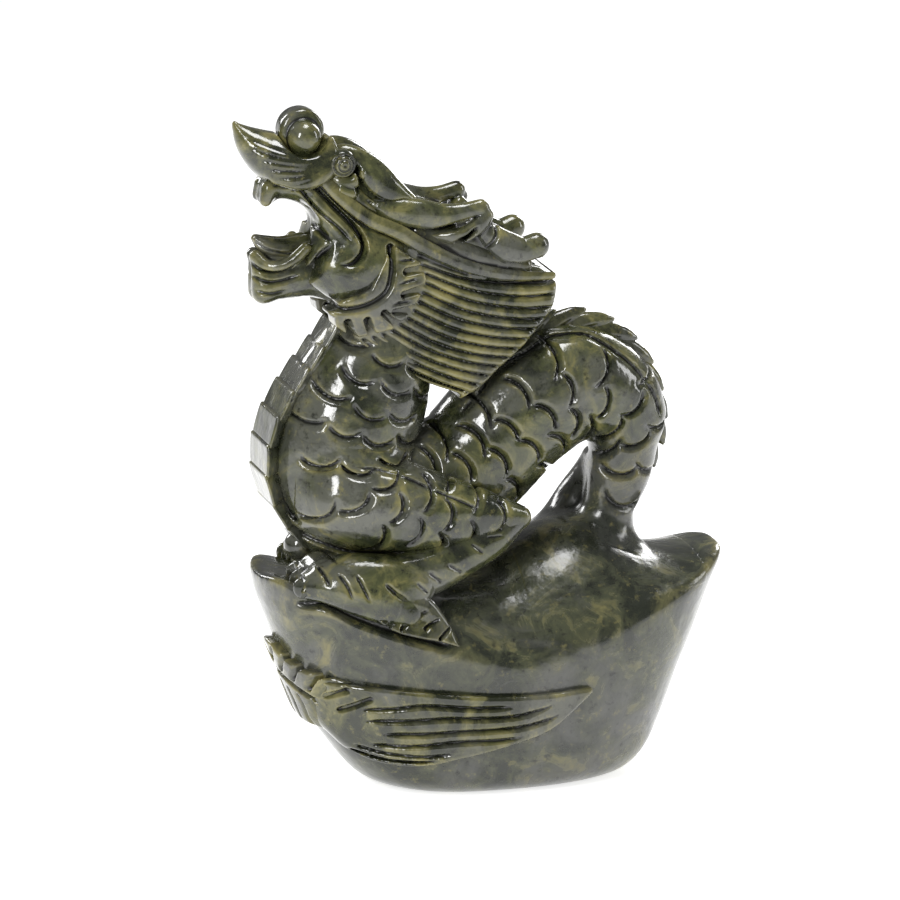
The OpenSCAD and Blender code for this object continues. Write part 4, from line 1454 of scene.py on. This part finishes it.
def make_brows():
    b = Block((-74, -24, 228), (-30, 0, 266), 0.53)
    b.lobe(BROW, 0.85)
    b.lobe(LID, 0.9, k=1.0)
    b.lobe(LID_BEAD, 0.9, k=0.6)
    b.lobe(BROW_ROOT, 0.9, k=2)
    line = Sketch((-74, 228), (-30, 266), 0.25)
    under_brow = [(-58.2, 250), (-57.3, 243.5), (-53, 237), (-46.5, 234), (-37, 235)]
    line.groove(under_brow, 2.4, 2.2, fade=(0.1, 0.15))
    line.groove([(-55.5, 236), (-49, 231.5), (-41, 229.5)], 1.8, 1.4, fade=(0.2, 0.3))
    b.carve(line)
    finish_pair("brow", b, "stone_body", FINE)


make_eyes()
make_brows()

# %% [markdown]
# The mane is a thick slab behind the cheek, with a dozen rounded strands that
# run back from the cheek and end at its edge. The lines between strands are
# worked out by sliding from the root to the edge: each is a share of the way
# down both, and sags a little in the middle.

# %% Mane
MANE_START = [(-37, 214), (-34, 205), (-36, 198), (-39, 192), (-44, 187.5), (-50, 184.5), (-56, 183),
              (-62, 182)]
MANE_END = [(19.5, 204.5), (21, 196), (18.5, 187.5), (12, 180.5), (5, 173.5), (-3.5, 166.5), (-10.5, 160),
            (-19, 155.5)]
MANE_LOW = [(-60, 181.5), (-50.5, 174), (-40, 167), (-29.5, 161.5), (-19, 157.5)]
BAND_DEPTHS = [10.5, 14.5, 17.5, 19, 20, 20, 19.5, 18.5, 16]
BAND_RADII = [2.4, 2.7, 2.9, 3.0, 2.9, 2.7, 2.5, 2.3, 1.6]
UNDER_BAND = [[-30, -11, 213, 9], [-16, -11, 206, 8], [0, -10, 200.5, 7.5], [14, -8, 198, 6]]
OVER_BAND = [[-33, -13, 220.5, 4.4], [-22, -15, 215.5, 4.6], [-8, -15.5, 209.6, 4.4], [8, -14, 205.5, 3.6]]
STRANDS = 13


def share_along(points, share):
    p = spline(points, 8)
    run = np.concatenate([[0], np.cumsum(np.hypot(*np.diff(p[:, :2], axis=0).T))])
    return np.array([np.interp(share * run[-1], run, p[:, c]) for c in range(2)])


mane = Sketch((-80, 150), (26, 262), 0.25)
for i in range(STRANDS + 1):
    share = i / STRANDS
    root, tip = share_along(MANE_START, share), share_along(MANE_END, share)
    way, sag = tip - root, 4.2 * (1 - 0.25 * share)
    line = [root, root + way * 0.33 + [0, -sag * 0.9], root + way * 0.67 + [0, -sag * 0.8], tip]
    mane.groove(line, 5.2, 2.0, form="round", fade=(0.04, 0.07))
    mane.groove(line, 1.5, 2.6, fade=(0.06, 0.09))


def mane_thickness(X, Z):
    return 19.5 + 2.5 * ease(X, -46, -14) - 3.5 * ease(X, 6, 22)


def make_mane():
    b = Block((-78, -31, 150), (25, 1, 252), 0.6)
    X, Y, Z = b.axes()
    outline = ([(-40, 222)] + [(p[0], p[1] + 0.5) for p in BAND_LOW[5:]] + MANE_END + MANE_LOW[::-1]
               + [(-58, 186), (-46, 200), (-42, 212)])
    wall = outline_wall(b, spline(outline + outline[:1], 4)[:, :2])
    b.d = smooth_max(wall, np.abs(Y) - mane_thickness(X, Z), 4.0).astype(np.float32)
    b.carve(mane, (2, 7))
    # the long band over the strands lies between the two grooves of the skull
    band = [[low[0] * 0.62 + top[0] * 0.38 + 0.4, -y, low[1] * 0.62 + top[1] * 0.38 + 0.4, r]
            for low, top, y, r in zip(BAND_LOW, BAND_TOP, BAND_DEPTHS, BAND_RADII)]
    b.lobe(band, 0.7, k=0.8)
    b.lobe(UNDER_BAND, 1, k=1)
    b.lobe(OVER_BAND, 0.7, k=0.6)
    b.d = smooth_max(b.d, np.where(Y > 0.4, Y - 0.4, -1), 0.3).astype(np.float32)
    finish_pair("mane", b, "stone_light", FINE)


make_mane()

# %% [markdown]
# Two horn locks curl up behind the brow on each side, each ending in a rounded
# hook, with a leaf-shaped fold between them. Each lock is made on its own and
# then run into the others with a tight fillet, which keeps the crease.

# %% Horns
HORN_ONE = [[-53, -12, 233.5, 2.5], [-44, -14, 231, 5.0], [-34, -15, 228.6, 6.0], [-25, -15.5, 227.6, 4.8],
            [-17, -16, 228.4, 3.8], [-10, -17, 229.8, 3.7]]
HORN_TWO = [[-10, -14, 224, 4.2], [-5.5, -15.5, 218.5, 5.0], [1, -16, 213.5, 6.4], [7, -16, 211.8, 5.6],
            [12.5, -16.5, 213.6, 5.2]]
HORN_FOLD = [[-26, -15, 219.5, 3.2], [-19, -17.5, 220.5, 4.0], [-12, -18.5, 223.5, 3.6], [-8, -18, 227, 3.0]]
HORN_ROOT = [[-44, -9, 226, 8], [-30, -9, 222, 8], [-14, -9, 216, 8], [2, -9, 210, 7]]


def make_horns():
    b = Block((-60, -27, 198), (24, 1, 244), 0.53)
    b.lobe(HORN_ONE, 0.85)
    b.lobe(HORN_ROOT, 1.0, k=3)
    for run, flat, k in ((HORN_FOLD, 0.8, 0.8), (HORN_TWO, 0.85, 1.2)):
        lock = b.like()
        lock.lobe(run, flat)
        b.d = smooth_min(b.d, lock.d, k)
    s = Sketch((-60, 198), (24, 244), 0.25)
    s.groove([(-42, 224.5), (-33, 221.8), (-24, 222.8), (-16, 224.8), (-9, 229)], 3.0, 2.6, fade=(0.15, 0.3))
    s.groove([(-22, 217), (-16, 219.5), (-11, 224.5)], 3.4, 2.6, form="soft", fade=(0.3, 0.3))
    s.groove([(-4, 225.5), (-4.5, 219), (-9, 213)], 2.4, 1.5, fade=(0.15, 0.3))
    s.groove([(-2, 208.5), (6, 207.2), (15, 209)], 1.8, 1.2, fade=(0.2, 0.2))
    b.carve(s, (7, 10))
    finish_pair("horns", b, "stone_body", FINE)


make_horns()

# %% [markdown]
# Round the cheek stands a frill of pointed feathers. It is one bent plate, and
# each feather is what is left between two wedges cut in from its edge.

# %% Frill
FRILL = [(-46, 219), (-41, 215), (-34.5, 211), (-32.5, 204.5), (-35.5, 197), (-40, 190.5), (-46, 185.5),
         (-54, 184), (-62, 183), (-68, 187.5), (-71, 193), (-66, 198), (-55, 202), (-51, 210)]
WEDGES = [((-31.5, 209), (-42.5, 207.5)), ((-33.5, 201), (-43.5, 198.5)), ((-37.5, 193), (-47, 192)),
          ((-43.5, 186.5), (-51, 193.5)), ((-54, 183), (-57, 191.5)), ((-61, 181.5), (-64.5, 191)),
          ((-70, 184), (-70, 192))]
QUILL_LINES = [((-37, 212), (-45, 212.5)), ((-36, 205), (-45.5, 203)), ((-39, 196.5), (-48, 195.5))]


def make_frill():
    b = Block((-80, -30, 178), (-28, -4, 224), 0.5)
    X, Y, Z = b.axes()
    from_cheek = np.hypot(X + 58, Z - 206)
    thick = 23.0 - 0.06 * np.maximum(from_cheek - 12, 0) - 4.0 * ease(-X, 58, 76) - 1.0 * ease(Z, 200, 216)
    plate_d = smooth_max(outline_wall(b, FRILL), -Y - thick, 1.6)
    b.d = smooth_max(plate_d, Y + 8, 1).astype(np.float32)
    cuts = Sketch((-80, 178), (-28, 224), 0.2)
    for line in WEDGES:
        cuts.groove(line, 3.6, 4.0, fade=(0.0, 0.12))
    for line in QUILL_LINES:
        cuts.groove(line, 1.6, 1.2, fade=(0.2, 0.5))
    cuts.groove(CHEEK_EDGE, 4.0, 2.4, form="soft", fade=(0.03, 0.1))
    b.carve(cuts)
    finish_pair("cheek_frill", b, "stone_light", FINE)


make_frill()

# %% [markdown]
# The figure stands on a plain pale floor. The floor glows a little of its own,
# so that it stays white under a dark figure, and it is big enough for its far
# side to melt into the pale surroundings.

# %% Floor
FLOOR_R, FLOOR_SIDES = 15.0, 96
FLOOR_WHITE, FLOOR_GLOW = (0.90, 0.90, 0.90, 1), 0.74


def make_floor():
    turns = np.linspace(0, 2 * math.pi, FLOOR_SIDES, endpoint=False)
    ring = [(FLOOR_R * math.cos(t), FLOOR_R * math.sin(t), 0) for t in turns]
    mesh = bpy.data.meshes.new("floor")
    mesh.from_pydata(ring, [], [tuple(range(FLOOR_SIDES))])
    mesh.update()
    floor = bpy.data.objects.new("floor", mesh)
    bpy.context.scene.collection.objects.link(floor)
    m = bpy.data.materials.new("pale_floor")
    m.use_nodes = True
    bsdf = m.node_tree.nodes["Principled BSDF"]
    bsdf.inputs["Base Color"].default_value = FLOOR_WHITE
    bsdf.inputs["Roughness"].default_value = 0.6
    bsdf.inputs["Emission Color"].default_value = (1, 1, 1, 1)
    bsdf.inputs["Emission Strength"].default_value = FLOOR_GLOW
    mesh.materials.append(m)


make_floor()
print("floor radius:", FLOOR_R, "m")

# %% [markdown]
# A polished dark stone shows its shape mostly by what it mirrors, so the
# lights are softboxes: large enough for a soft shade, small enough to leave
# crisp highlights on the scales. A tall one stands on the left and front, one
# hangs overhead, a strip is on the right, and two behind put pale edges on the
# mane and the arch.

# %% Lights
MIDDLE = (0, 0, 0.13)                  # the middle of the figure, which every light faces
SURROUND = 0.24                        # how bright the pale surroundings are
SOFTBOXES = {                          # place, width and height in metres, power in watts
    "front_left": ((-0.75, -0.75, 0.62), 0.24, 0.55, 7.5),
    "overhead": ((0.05, -0.05, 1.05), 0.4, 0.3, 5.2),
    "right": ((0.95, -0.25, 0.45), 0.16, 0.6, 2.2),
    "back_left": ((-0.55, 0.85, 0.6), 0.24, 0.5, 4.5),
    "back_right": ((0.7, 0.75, 0.55), 0.24, 0.5, 4.5)}
for name, (place, width, height, power) in SOFTBOXES.items():
    light = bpy.data.lights.new(name, "AREA")
    light.shape, light.size, light.size_y = "RECTANGLE", width, height
    light.energy = power
    o = bpy.data.objects.new(name, light)
    bpy.context.scene.collection.objects.link(o)
    o.location = place
    o.rotation_euler = (Vector(MIDDLE) - Vector(place)).to_track_quat("-Z", "Y").to_euler()

world = bpy.data.worlds.new("studio")
bpy.context.scene.world = world
world.use_nodes = True
world.node_tree.nodes["Background"].inputs[0].default_value = (1, 1, 1, 1)
world.node_tree.nodes["Background"].inputs[1].default_value = SURROUND
print("softboxes:", len(SOFTBOXES))

# %% [markdown]
# The camera looks down a little and from slightly left of square on, from far
# enough away that the near and the far side keep nearly the same size. Its
# lens is worked out from the width that it should see at the figure.

# %% Camera
CAMERA_AZIMUTH, CAMERA_ELEVATION = -16.0, 14.5
CAMERA_DISTANCE = 3.0
SENSOR = 36.0
SEEN = 0.3474                          # width of the view at the object, in metres
DRAWN_DEPTH = 0.055                    # how far in front of the aimed point that width is met
AIM_LEFT, AIM_UP = 0.0185, 0.1250      # the aimed point, from the foot of the figure

a, e = math.radians(CAMERA_AZIMUTH), math.radians(CAMERA_ELEVATION)
back = Vector((math.sin(a) * math.cos(e), -math.cos(a) * math.cos(e), math.sin(e)))
right = Vector((math.cos(a), math.sin(a), 0))
up = back.cross(right)
aim = Vector((0.002, 0, 0)) - right * AIM_LEFT + up * AIM_UP
camera_data = bpy.data.cameras.new("camera")
camera_data.sensor_width = SENSOR
camera_data.lens = SENSOR * (CAMERA_DISTANCE - DRAWN_DEPTH) / SEEN
camera = bpy.data.objects.new("camera", camera_data)
bpy.context.scene.collection.objects.link(camera)
camera.location = aim + back * CAMERA_DISTANCE
camera.rotation_euler = back.to_track_quat("Z", "Y").to_euler()
bpy.context.scene.camera = camera
bpy.context.scene.view_settings.view_transform = "Standard"
print("lens:", round(camera_data.lens, 1), "mm")

# %% Count the triangles and finish
print("triangles in all:", sum(MADE.values()))
